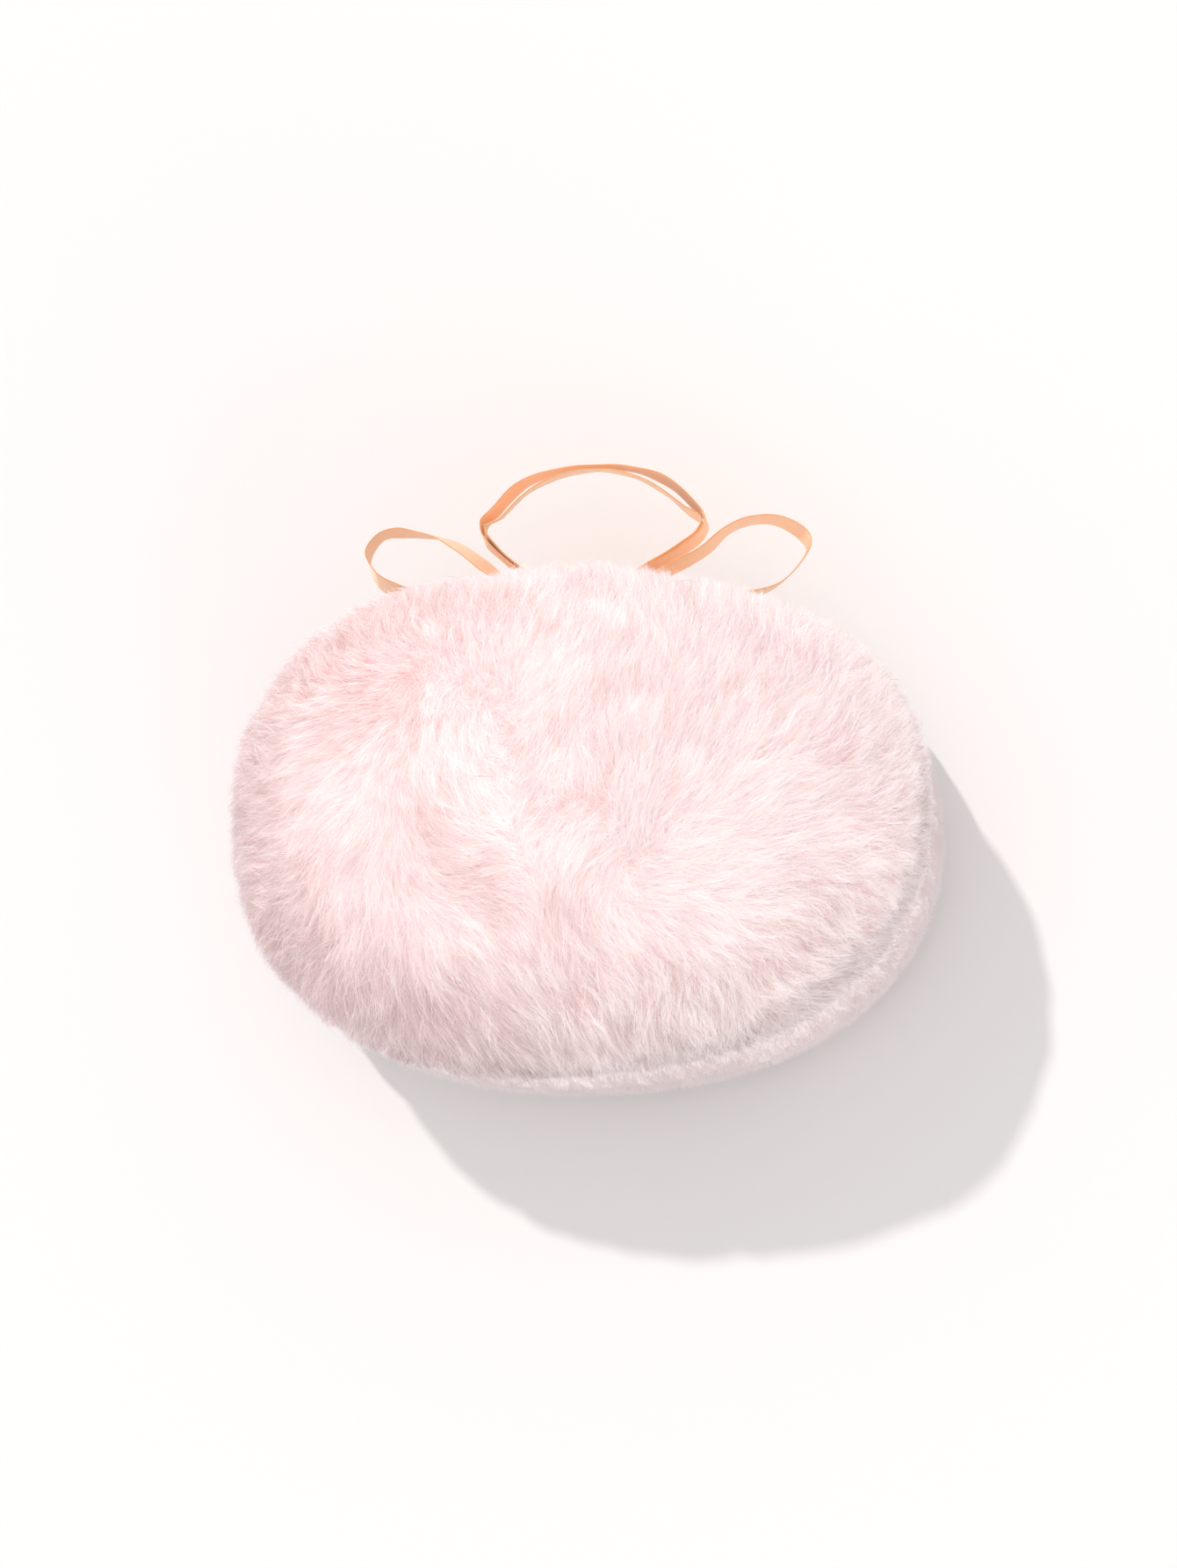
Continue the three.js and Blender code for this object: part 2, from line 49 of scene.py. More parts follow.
# %% [markdown]
# ## Camera
# The picture is taken from almost straight above, turned a little to the puff's right end. A long
# lens keeps the oval free of perspective. The camera's three axes are written as unit vectors:
# right and up in the picture, and back from the puff to the lens.

# %% Camera
PICTURE_WIDTH = 170.9 * MM
CAMERA_DISTANCE = 0.6
SENSOR_WIDTH = 36.0
PICTURE_RIGHT = Vector((0.9712, 0.0, -0.2382))
PICTURE_BACK = Vector((0.2332, -0.2027, 0.951)).normalized()
PICTURE_UP = PICTURE_BACK.cross(PICTURE_RIGHT).normalized()
MIDDLE_OF_PUFF = Vector((0.0, 0.0, 16.0)) * MM
FRAMING_RISE = 6.2 * MM

camera_data = bpy.data.cameras.new("camera")
camera_data.sensor_fit = "HORIZONTAL"
camera_data.sensor_width = SENSOR_WIDTH
camera_data.lens = SENSOR_WIDTH * CAMERA_DISTANCE / PICTURE_WIDTH
camera = bpy.data.objects.new("camera", camera_data)
bpy.context.scene.collection.objects.link(camera)
turn = Matrix((PICTURE_BACK.cross(PICTURE_UP) * -1, PICTURE_UP, PICTURE_BACK)).transposed()
aim = MIDDLE_OF_PUFF + PICTURE_UP * FRAMING_RISE
camera.matrix_world = Matrix.Translation(aim + PICTURE_BACK * CAMERA_DISTANCE) @ turn.to_4x4()
bpy.context.scene.camera = camera
print("lens:", round(camera_data.lens, 1), "mm")

# %% [markdown]
# ## Node helpers
# Materials are node trees. A few short helpers add a node with its settings, join sockets and
# lay a pattern's colour and height on a surface, so that each material below reads as a list of
# what feeds what.


# %% Node helpers
def feed(tree, socket, value):
    """Gives an input socket its value, as a link from another socket or as a plain value."""
    if isinstance(value, bpy.types.NodeSocket):
        tree.links.new(value, socket)
    else:
        socket.default_value = value


def add_node(tree, kind, inputs=None, **settings):
    """A new node of that kind, with plain settings and with values or links for its inputs."""
    made = tree.nodes.new(kind)
    for name, value in settings.items():
        setattr(made, name, value)
    for name, value in (inputs or {}).items():
        feed(tree, made.inputs[name], value)
    return made


def math_node(tree, operation, first, second=0.0):
    """The result socket of a Math node on two values or sockets."""
    return add_node(
        tree, "ShaderNodeMath", {0: first, 1: second}, operation=operation
    ).outputs[0]


def mix_colours(tree, share, first, second, blend="MIX"):
    """The result socket of a colour mix: share 0 gives the first colour, 1 the second."""
    made = add_node(tree, "ShaderNodeMix", data_type="RGBA", blend_type=blend)
    for place, value in ((0, share), (6, first), (7, second)):
        feed(tree, made.inputs[place], value)
    return made.outputs[2]


def map_range(tree, value, low, high, new_low=0.0, new_high=1.0):
    """The result socket for a value carried from one range to another and kept inside it."""
    ranges = {0: value, 1: low, 2: high, 3: new_low, 4: new_high}
    return add_node(tree, "ShaderNodeMapRange", ranges).outputs[0]


def seen_rays(tree):
    """1 for rays that the lens sees straight, mirrored or through glass, and 0 for light."""
    rays = add_node(tree, "ShaderNodeLightPath").outputs
    indirect = math_node(tree, "MAXIMUM", rays["Is Glossy Ray"], rays["Is Transmission Ray"])
    return math_node(tree, "MAXIMUM", rays["Is Camera Ray"], indirect)


def rgb(red, green, blue):
    """A colour as Blender's sockets want it, with its alpha."""
    return (red, green, blue, 1.0)


def new_material(name, **values):
    """A material and its Principled shader, with plain values on the shader's sockets."""
    material = bpy.data.materials.new(name)
    material.use_nodes = True
    shader = material.node_tree.nodes["Principled BSDF"]
    for socket, value in values.items():
        shader.inputs[socket.replace("_", " ")].default_value = value
    return material, material.node_tree, shader


def new_group(name, inputs, outputs):
    """A node group with the named sockets, its input node and its output node."""
    group = bpy.data.node_groups.new(name, "ShaderNodeTree")
    kinds = {"colour": "NodeSocketColor", "value": "NodeSocketFloat", "vector": "NodeSocketVector"}
    for direction, sockets in (("INPUT", inputs), ("OUTPUT", outputs)):
        for socket, kind in sockets.items():
            group.interface.new_socket(name=socket, in_out=direction, socket_type=kinds[kind])
    return group, group.nodes.new("NodeGroupInput"), group.nodes.new("NodeGroupOutput")


def use_group(tree, group, **inputs):
    """A node that places the group, with its inputs given by name."""
    made = add_node(tree, "ShaderNodeGroup", node_tree=group)
    for name, value in inputs.items():
        feed(tree, made.inputs[name], value)
    return made


def lay_surface(tree, shader, made, depth):
    """A group's Colour as the base colour, and its Height as a bump of that many millimetres."""
    bump = add_node(
        tree, "ShaderNodeBump", {"Height": made.outputs["Height"], "Distance": depth * MM}
    )
    tree.links.new(made.outputs["Colour"], shader.inputs["Base Color"])
    tree.links.new(bump.outputs["Normal"], shader.inputs["Normal"])


# %% [markdown]
# ## Floor, sun and sky
# The puff lies on a pure white table in hard sunlight from the upper left, with a bright white sky
# that fills the shadow and a white card that throws a little light back at its shaded side. A
# table of plain white would come out slightly grey, so camera rays get a small lift on it and meet
# a full white sky, while the puff itself is lit at a plain level.

# %% Floor
FLOOR_HALF = 3.0
FLOOR_DROP = 0.15 * MM
FLOOR_COLOUR = rgb(0.855, 0.825, 0.82)
FLOOR_LIFT = 0.025
WHITE = rgb(1.0, 1.0, 1.0)
SQUARE = ((-1, -1), (1, -1), (1, 1), (-1, 1))

floor_mesh = bpy.data.meshes.new("floor")
corners = [(x * FLOOR_HALF, y * FLOOR_HALF, -FLOOR_DROP) for x, y in SQUARE]
floor_mesh.from_pydata(corners, [], [(0, 1, 2, 3)])
floor = bpy.data.objects.new("floor", floor_mesh)
bpy.context.scene.collection.objects.link(floor)
floor_paint, tree, shader = new_material(
    "white_table", Base_Color=FLOOR_COLOUR, Roughness=1.0, Specular_IOR_Level=0.0
)
shader.inputs["Emission Color"].default_value = WHITE
lift = math_node(tree, "MULTIPLY", seen_rays(tree), FLOOR_LIFT)
tree.links.new(lift, shader.inputs["Emission Strength"])
floor_mesh.materials.append(floor_paint)
print("table:", 2 * FLOOR_HALF, "m square")

# %% Sun and sky
SUN_SIDE = Vector((-0.537, 0.844, 0.0))
SUN_ELEVATION, CARD_ELEVATION = math.radians(42.5), math.radians(11.0)
SUN_STRENGTH, CARD_STRENGTH, SKY_STRENGTH = 1.5, 0.85, 0.81
SUN_ANGLE, CARD_ANGLE = math.radians(2.6), math.radians(50.0)
SUN_COLOUR, CARD_COLOUR = (1.0, 0.985, 0.965), (1.0, 0.97, 0.965)


def add_lamp(name, side, elevation, strength, angle, colour):
    """A lamp that shines from a side of the table, that far up, over that angle of the sky."""
    towards = side.normalized() * math.cos(elevation)
    towards.z = math.sin(elevation)
    lamp = bpy.data.lights.new(name, "SUN")
    lamp.energy, lamp.angle, lamp.color = strength, angle, colour
    holder = bpy.data.objects.new(name, lamp)
    holder.rotation_euler = towards.to_track_quat("Z", "Y").to_euler()
    bpy.context.scene.collection.objects.link(holder)
    print(name, "from", [round(v, 2) for v in towards])


add_lamp("sun", SUN_SIDE, SUN_ELEVATION, SUN_STRENGTH, SUN_ANGLE, SUN_COLOUR)
add_lamp("reflector_card", -SUN_SIDE, CARD_ELEVATION, CARD_STRENGTH, CARD_ANGLE, CARD_COLOUR)

world = bpy.data.worlds.new("sky")
bpy.context.scene.world = world
world.use_nodes = True
tree = world.node_tree
background = tree.nodes["Background"]
extra = math_node(tree, "MULTIPLY", seen_rays(tree), 1.0 - SKY_STRENGTH)
background.inputs["Color"].default_value = WHITE
tree.links.new(math_node(tree, "ADD", SKY_STRENGTH, extra), background.inputs["Strength"])
bpy.context.scene.view_settings.view_transform = "Standard"

# %% [markdown]
# ## Meshes from arrays
# A mesh is an array of points and arrays of faces. They go into Blender in one call each, which
# takes only a moment even for a million corners. Each piece is then said to move with a body of
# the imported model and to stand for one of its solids.


# %% Meshes from arrays
def make_piece(name, points, faces, material, uv=None, uv_name="surface", normals=None):
    """
    An object from points in millimetres, a list of face arrays (any number of corners each), one
    material and, if given, one UV place and one normal per point.
    """
    mesh = bpy.data.meshes.new(name)
    loops = np.concatenate([f.ravel() for f in faces]).astype(np.int32)
    counts = np.concatenate([np.full(len(f), f.shape[1]) for f in faces])
    starts = np.concatenate([[0], np.cumsum(counts)[:-1]]).astype(np.int32)
    mesh.vertices.add(len(points))
    mesh.vertices.foreach_set("co", (points * MM).astype(np.float32).ravel())
    mesh.loops.add(len(loops))
    mesh.loops.foreach_set("vertex_index", loops)
    mesh.polygons.add(len(counts))
    mesh.polygons.foreach_set("loop_start", starts)
    mesh.polygons.foreach_set("use_smooth", np.full(len(counts), True))
    mesh.update(calc_edges=True)
    if normals is not None:
        mesh.normals_split_custom_set_from_vertices(normals)
    if uv is not None:
        layer = mesh.uv_layers.new(name=uv_name)
        layer.data.foreach_set("uv", uv[loops].astype(np.float32).ravel())
    mesh.materials.append(material)
    piece = bpy.data.objects.new(name, mesh)
    bpy.context.scene.collection.objects.link(piece)
    return piece


def make_shell(name, rings, material):
    """
    A closed shell from rings (ring, place around, xyz), whose end rings are poles. Each quad joins
    ring k to ring k + 1, and a fan of triangles closes each pole.
    """
    count, around = len(rings) - 2, rings.shape[1]
    i = np.arange(around)
    j = (i + 1) % around
    k = 1 + np.arange(count - 1)[:, None] * around
    quads = np.stack([k + i, k + around + i, k + around + j, k + j], -1).reshape(-1, 4)
    last = 1 + (count - 1) * around
    first_fan = np.stack([np.zeros_like(i), 1 + i, 1 + j], -1)
    last_fan = np.stack([last + i, np.full_like(i, last + around), last + j], -1)
    points = np.concatenate([rings[0][:1], rings[1:-1].reshape(-1, 3), rings[-1][:1]])
    return make_piece(name, points, [quads, first_fan, last_fan], material)


def dress(piece, body, node):
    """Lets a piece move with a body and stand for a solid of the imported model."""
    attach(piece, body)
    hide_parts(node)
    print(piece.name, "faces:", len(piece.data.polygons))


TINY = 1e-9


def unit(vectors):
    """Vectors scaled to length 1, or near 0 where they have no length."""
    return vectors / (np.linalg.norm(vectors, axis=-1, keepdims=True) + TINY)


# %% [markdown]
# ## The sewn body
# Both panels are cut to one oval, a superellipse: |x / 43|^2.3 + |y / 29.5|^2.3 = 1. A panel
# bulges away from the seam along a rounded profile, and the same profile is carried round the
# oval. Between the cloth and the outer skin of the pile there is a lift from 0 to 1, so one
# function gives every fibre its root, its bend and its tip.

# %% Sizes of the body
HALF_LENGTH, HALF_WIDTH, OUTLINE_POWER = 43.0, 29.5, 2.3
SEAM_RADIUS = (HALF_LENGTH + HALF_WIDTH) / 2
CLOTH_THICKNESS = 0.8
ALLOWANCE = 6.0
GAP = 0.35
# A profile: radius and height of the pole, of the rim and of the end at the seam, and roundness.
FRONT_CLOTH = dict(pole=(0.0, 36.0), rim=(37.75, 22.5), end=(36.25, 17.675), power=2.15)
FRONT_SKIN = dict(pole=(0.0, 44.0), rim=(45.75, 22.5), end=(42.75, 17.175), power=2.15)
BACK_CLOTH = dict(pole=(22.475, 5.5), rim=(39.75, 9.0), end=(36.25, 16.325), power=2.3)
BACK_SKIN = dict(pole=(22.475, 0.0), rim=(45.25, 9.0), end=(42.75, 16.825), power=2.3)
# Where the pile is pressed in at the rim. The long fringe is full at one turn and tucked in on the
# far side. A dent has a turn and a spread in degrees and a share of the pile's depth.
FRINGE_FULL, FRINGE_TUCK, RIM_START = 135.0, 0.35, 0.6
FRONT_DENTS = ((57, 24, 0.62), (100, 30, 0.25), (113, 12, 0.18), (190, 30, 0.13))
BACK_DENTS = ((33, 36, 0.42),)
# Where the share of the way out from the middle meets the pole, the rim and the seam.
FRONT_PANEL = dict(
    cloth=FRONT_CLOTH, skin=FRONT_SKIN, shares=(0.0, 1.0, 1.16), steps=(0, 1, 2),
    tuck=FRINGE_TUCK, dents=FRONT_DENTS,
)
BACK_PANEL = dict(
    cloth=BACK_CLOTH, skin=BACK_SKIN, shares=(0.0, 0.45, 0.85, 1.0), steps=(-1, 0, 1, 2),
    tuck=0.0, dents=BACK_DENTS,
)


# %% Surface of a panel
def outline(turn):
    """Radius of the seam's oval at each turn, and its outward unit normal."""
    c, s = np.cos(turn), np.sin(turn)
    radius = (
        np.abs(c / HALF_LENGTH) ** OUTLINE_POWER + np.abs(s / HALF_WIDTH) ** OUTLINE_POWER
    ) ** (-1 / OUTLINE_POWER)
    slope = OUTLINE_POWER - 1
    nx = np.sign(c) * np.abs(radius * c / HALF_LENGTH) ** slope / HALF_LENGTH
    ny = np.sign(s) * np.abs(radius * s / HALF_WIDTH) ** slope / HALF_WIDTH
    size = np.hypot(nx, ny)
    return radius, nx / size, ny / size


def profile(shape, step, inset=0.0):
    """
    Radius and height on a profile: step -1 to 0 is the flat, 0 to 1 a rounded quarter
    radius = pole + (rim - pole) sin^(2/p), height = rim + (pole - rim) cos^(2/p), and 1 to 2 the
    quarter that turns in to the seam. inset moves it towards the filling.
    """
    inward = -1.0 if shape["pole"][1] > shape["rim"][1] else 1.0
    (pole_r, pole_z), (rim_r, rim_z), (end_r, end_z) = shape["pole"], shape["rim"], shape["end"]
    pole_z, end_z = pole_z + inward * inset, end_z - inward * inset
    rim_r, end_r = rim_r - inset, end_r - inset
    a = np.clip(step, 0, 1) * np.pi / 2
    b = np.clip(step - 1, 0, 1) * np.pi / 2
    bend = 2 / shape["power"]
    radius = pole_r + (rim_r - pole_r) * np.sin(a) ** bend
    height = rim_z + (pole_z - rim_z) * np.cos(a).clip(0) ** bend
    radius = np.where(step < 0, pole_r * (1 + np.minimum(step, 0)), radius)
    radius = np.where(step > 1, end_r + (rim_r - end_r) * np.cos(b), radius)
    height = np.where(step > 1, rim_z + (end_z - rim_z) * np.sin(b), height)
    return radius, height


def carried(radius, height, turn):
    """A profile point at a turn: along the oval up to the seam's radius, then along its normal."""
    reach, nx, ny = outline(turn)
    inside = reach * np.minimum(radius / SEAM_RADIUS, 1)
    outside = np.maximum(radius - SEAM_RADIUS, 0)
    x, y = inside * np.cos(turn) + outside * nx, inside * np.sin(turn) + outside * ny
    return np.stack(np.broadcast_arrays(x, y, height), -1)


def panel_surface(panel, share, turn, lift):
    """The point at a share of the way out, a turn and a lift: 0 is the cloth, 1 the skin."""
    step = np.interp(share, panel["shares"], panel["steps"])
    low_r, low_z = profile(panel["cloth"], step)
    high_r, high_z = profile(panel["skin"], step)
    return carried(low_r + (high_r - low_r) * lift, low_z + (high_z - low_z) * lift, turn)


def facing(turn, at):
    """(1 + cos) / 2 of the angle between two turns: 1 where they agree, 0 on the far side."""
    return (1 + np.cos(turn - at)) / 2


def skin_height(panel, share, turn):
    """
    Lift of a panel's skin: 1 on the face, less the tuck and the dents towards the rim. The tuck is
    t (1 - cos(turn - 135°)) / 2, because the fringe stands out at the upper left and is tucked in
    at the lower right, and a dent is depth · e^(-(angle between the turns / spread)²).
    """
    pressed = panel["tuck"] * (1 - facing(turn, math.radians(FRINGE_FULL)))
    for at, spread, depth in panel["dents"]:
        between = np.angle(np.exp(1j * (turn - math.radians(at))))
        pressed = pressed + depth * np.exp(-((between / math.radians(spread)) ** 2))
    step = np.interp(share, panel["shares"], panel["steps"])
    return 1 - pressed * ease(RIM_START, 1.0, step)


def skin_facing(panel, share, turn):
    """The way from the cloth to the skin, as xyz in millimetres."""
    cloth, skin = (panel_surface(panel, share, turn, lift) for lift in (0.0, 1.0))
    return skin - cloth


def pattern_place(x, y):
    """Share of the way out and turn of a place (x, y) on the panel's flat paper pattern."""
    turn = np.arctan2(y, x)
    return np.hypot(x, y) / outline(turn)[0], turn


# %% Soft noise
LATTICE = 128


def ease(low, high, value):
    """0 below low, 1 above high, and 3t² - 2t³ in between."""
    t = np.clip((value - low) / (high - low), 0, 1)
    return t * t * (3 - 2 * t)


def soft_noise(x, y, height, size, seed):
    """Noise up to ± height: random numbers every `size` millimetres, blended smoothly between."""
    lattice = np.random.default_rng(seed).random((LATTICE, LATTICE)) * 2 - 1
    u, v = x / size + LATTICE / 2, y / size + LATTICE / 2
    i, j = np.floor(u).astype(int), np.floor(v).astype(int)
    fu, fv = ease(0, 1, u - i), ease(0, 1, v - j)

    def at(a, b):
        return lattice[a % LATTICE, b % LATTICE]

    near = at(i, j) * (1 - fu) + at(i + 1, j) * fu
    far = at(i, j + 1) * (1 - fu) + at(i + 1, j + 1) * fu
    return height * (near * (1 - fv) + far * fv)


# %% [markdown]
# ## Room for the ribbon
# Where the bow and the loop come out of the seam, the pile parts above and below them. The parting
# is a wedge that opens away from the knot, wide enough for the loops to swing. Front pile inside
# it moves up to its upper side, and back pile down to its lower side.

# %% Parting for the ribbon
KNOT_Y, KNOT_Z = 34.2, 17.0
PARTING_ROOM = 4.0
PARTING_HALF = (29.0, 34.0)
SWING_UP, SWING_DOWN = math.sin(math.radians(18.0)), math.sin(math.radians(27.0))


def parted(points, side):
    """Points moved out of the ribbon's wedge, upwards for side 1 and downwards for side -1."""
    out = points[..., 1] - KNOT_Y
    slope = SWING_UP if side > 0 else SWING_DOWN
    arc = np.sqrt(np.maximum(PARTING_ROOM**2 - out**2, 0))
    wall = np.where(out > 0, PARTING_ROOM + out * slope, arc)
    reach = 1 - ease(*PARTING_HALF, np.abs(points[..., 0]))
    short = wall - side * (points[..., 2] - KNOT_Z)
    moved = points.copy()
    moved[..., 2] += side * np.maximum(short, 0) * reach * (out > -PARTING_ROOM)
    return moved


# %% [markdown]
# ## Materials of the pile
# A plush fibre is painted pinkest near its root, as painted shade for the light that bounces
# between many fibres there, and almost white at its tip. Each fibre's map says how far along
# it a point lies, and how pale the fibre is, so one node group can tint all the pile: deep pink
# painted shade between the locks and where the pile bends away from the light, blush over most
# of it, and white painted highlights where single fibres catch the light. The short felt
# between the roots has no fibres of its own to see, so it gets fine noise for colour and bump.

# %% Fibre tint group
ROOT_TO_MIDDLE, MIDDLE_TO_TIP, BLUSH_TONE = (0.1, 0.55), (0.5, 1.0), 0.7
tints = dict.fromkeys(("Root", "Middle", "Tip", "Blush", "Painted_shade"), "colour")
fibre_tint, given, result = new_group(
    "fibre_tint", {**tints, "Place": "vector"}, {"Colour": "colour"}
)
paint = given.outputs
split = add_node(fibre_tint, "ShaderNodeSeparateXYZ", {0: paint["Place"]}).outputs
lower = map_range(fibre_tint, split["Y"], *ROOT_TO_MIDDLE)
upper = map_range(fibre_tint, split["Y"], *MIDDLE_TO_TIP)
colour = mix_colours(fibre_tint, lower, paint["Root"], paint["Middle"])
colour = mix_colours(fibre_tint, upper, colour, paint["Tip"])
# Low tones run to the painted shade colour, high tones to white, a painted highlight.
deep = map_range(fibre_tint, split["X"], 0.0, BLUSH_TONE)
pale = map_range(fibre_tint, split["X"], BLUSH_TONE, 1.0)
shade = mix_colours(fibre_tint, deep, paint["Painted_shade"], paint["Blush"])
shade = mix_colours(fibre_tint, pale, shade, WHITE)
colour = mix_colours(fibre_tint, 1.0, colour, shade, "MULTIPLY")
fibre_tint.links.new(colour, result.inputs["Colour"])

# %% Felt group
PALE_DEEP = {"Pale": "colour", "Deep": "colour"}
RELIEF = {"Colour": "colour", "Height": "value"}
FINE_SHARE, BROAD_SHARE, BROAD_SCALE = 0.6, 0.4, 180.0
felt, given, result = new_group("felt", {**PALE_DEEP, "Grain": "value"}, RELIEF)
place = add_node(felt, "ShaderNodeTexCoord").outputs["Object"]
grain = {"Vector": place, "Scale": given.outputs["Grain"], "Detail": 4.0, "Roughness": 0.65}
fine = add_node(felt, "ShaderNodeTexNoise", grain).outputs["Fac"]
patches = {"Vector": place, "Scale": BROAD_SCALE, "Detail": 2.0}
broad = add_node(felt, "ShaderNodeTexNoise", patches).outputs["Fac"]
fine_part = math_node(felt, "MULTIPLY", fine, FINE_SHARE)
broad_part = math_node(felt, "MULTIPLY", broad, BROAD_SHARE)
spread = map_range(felt, math_node(felt, "ADD", fine_part, broad_part), 0.38, 0.62)
colour = mix_colours(felt, spread, given.outputs["Deep"], given.outputs["Pale"])
felt.links.new(colour, result.inputs["Colour"])
felt.links.new(fine, result.inputs["Height"])


# %% Pile materials
def fibre_material(name, tints, **values):
    """A material for fibres that reads their own map: tone across, root to tip up."""
    material, tree, shader = new_material(name, **values)
    place = add_node(tree, "ShaderNodeUVMap", uv_map="OFBake").outputs["UV"]
    tint = use_group(tree, fibre_tint, Place=place, **tints)
    tree.links.new(tint.outputs["Colour"], shader.inputs["Base Color"])
    return material


def felt_material(name, pale, deep, grain, depth, **values):
    """A material for matted fibre, with noise of the grain's scale as colour and bump."""
    material, tree, shader = new_material(name, **values)
    lay_surface(tree, shader, use_group(tree, felt, Pale=pale, Deep=deep, Grain=grain), depth)
    return material


# In each pile the root colour is painted shade of the pile's depth, and so is the deepest tone.
long_pile = fibre_material(
    "long_pile",
    dict(
        Root=rgb(0.955, 0.71, 0.715), Middle=rgb(0.965, 0.89, 0.887), Tip=rgb(0.98, 0.95, 0.95),
        Blush=rgb(0.965, 0.85, 0.843), Painted_shade=rgb(0.66, 0.55, 0.555),
    ),
    Roughness=0.62, Specular_IOR_Level=0.35, Sheen_Weight=0.15, Sheen_Roughness=0.5,
)
# The guard and fly hairs have whiter tips than the rest, as painted glints on their real gloss.
glossy_pile = fibre_material(
    "glossy_pile",
    dict(
        Root=rgb(0.955, 0.76, 0.765), Middle=rgb(0.965, 0.91, 0.91), Tip=rgb(0.985, 0.98, 0.983),
        Blush=rgb(0.965, 0.85, 0.845), Painted_shade=rgb(0.66, 0.55, 0.56),
    ),
    Roughness=0.42, Specular_IOR_Level=0.6, Sheen_Weight=0.2, Sheen_Roughness=0.4,
)
# The short pile and the back felt are paler than the front's: partly their own colour, partly
# painted light for the band that lies in shade under the fringe.
short_pile = fibre_material(
    "short_pile",
    dict(
        Root=rgb(0.98, 0.85, 0.845), Middle=rgb(0.985, 0.90, 0.897), Tip=rgb(0.99, 0.93, 0.928),
        Blush=rgb(0.985, 0.96, 0.96), Painted_shade=rgb(0.97, 0.92, 0.92),
    ),
    Roughness=0.7, Specular_IOR_Level=0.3, Sheen_Weight=0.7, Sheen_Roughness=0.5,
)
# pale, deep, grain of the noise, depth of the bump in millimetres
front_felt = felt_material(
    "front_felt", rgb(0.97, 0.80, 0.795), rgb(0.965, 0.74, 0.735), 1400.0, 0.3, Roughness=0.9
)
back_felt = felt_material(
    "back_felt", rgb(0.985, 0.90, 0.90), rgb(0.98, 0.87, 0.87), 1800.0, 0.2, Roughness=0.9
)
stuffing_fibre = felt_material(
    "stuffing_fibre", rgb(0.97, 0.965, 0.95), rgb(0.93, 0.92, 0.90), 500.0, 0.8, Roughness=0.95
)
print("pile materials:", long_pile.name, glossy_pile.name, short_pile.name)

# %% [markdown]
# ## Undercoat
# Under the long fibres lies a dense felt of their lower parts, which carries the form and keeps
# light from falling through. It is a closed shell from the cloth to about three quarters of the
# pile's height, lumpy where the locks begin. A cushion could come from a cloth simulation, but the
# pile hides the cloth all round, so the form is the profile itself with soft hills added.

# %% Undercoat
AROUND, FELT_RINGS = 220, 90
FRONT_FELT_LIFT, BACK_FELT_LIFT, FELT_FLOOR_LIFT = 0.72, 0.78, 0.045
FRONT_LUMPS, BACK_LUMPS = 0.08, 0.05
# Hills of the felt: height, size in millimetres and seed of the noise
FELT_HILLS = ((1.0, 7.0, 11), (0.6, 2.6, 12), (0.3, 1.1, 13))
ring_turn = np.linspace(0, 2 * np.pi, AROUND, endpoint=False)


def felt_shell(panel, lift, side, lumps):
    """
    Rings of the felt between the cloth and a lift: lift · (1 + lumps · noise) on the outside,
    back along the cloth inside. side 1 walks from the outer pole, -1 from the inner one.
    """
    out = np.linspace(0, panel["shares"][-1], FELT_RINGS)
    share, turn = np.meshgrid(out, ring_turn, indexing="ij")
    reach = outline(turn)[0]
    x, y = share * reach * np.cos(turn), share * reach * np.sin(turn)
    hills = sum(soft_noise(x, y, *hill) for hill in FELT_HILLS)
    height = skin_height(panel, share, turn)
    outer = panel_surface(panel, share, turn, lift * height * (1 + lumps * hills))
    rows = np.concatenate([outer, panel_surface(panel, share, turn, FELT_FLOOR_LIFT)[::-1]])
    return parted(rows if side > 0 else rows[::-1], side)


front_rings = felt_shell(FRONT_PANEL, FRONT_FELT_LIFT, 1, FRONT_LUMPS)
front_undercoat = make_shell("front_undercoat", front_rings, front_felt)
dress(front_undercoat, "puff", "front_plush_pile")
back_rings = felt_shell(BACK_PANEL, BACK_FELT_LIFT, -1, BACK_LUMPS)
back_undercoat = make_shell("back_undercoat", back_rings, back_felt)
dress(back_undercoat, "puff", "back_plush_pile")
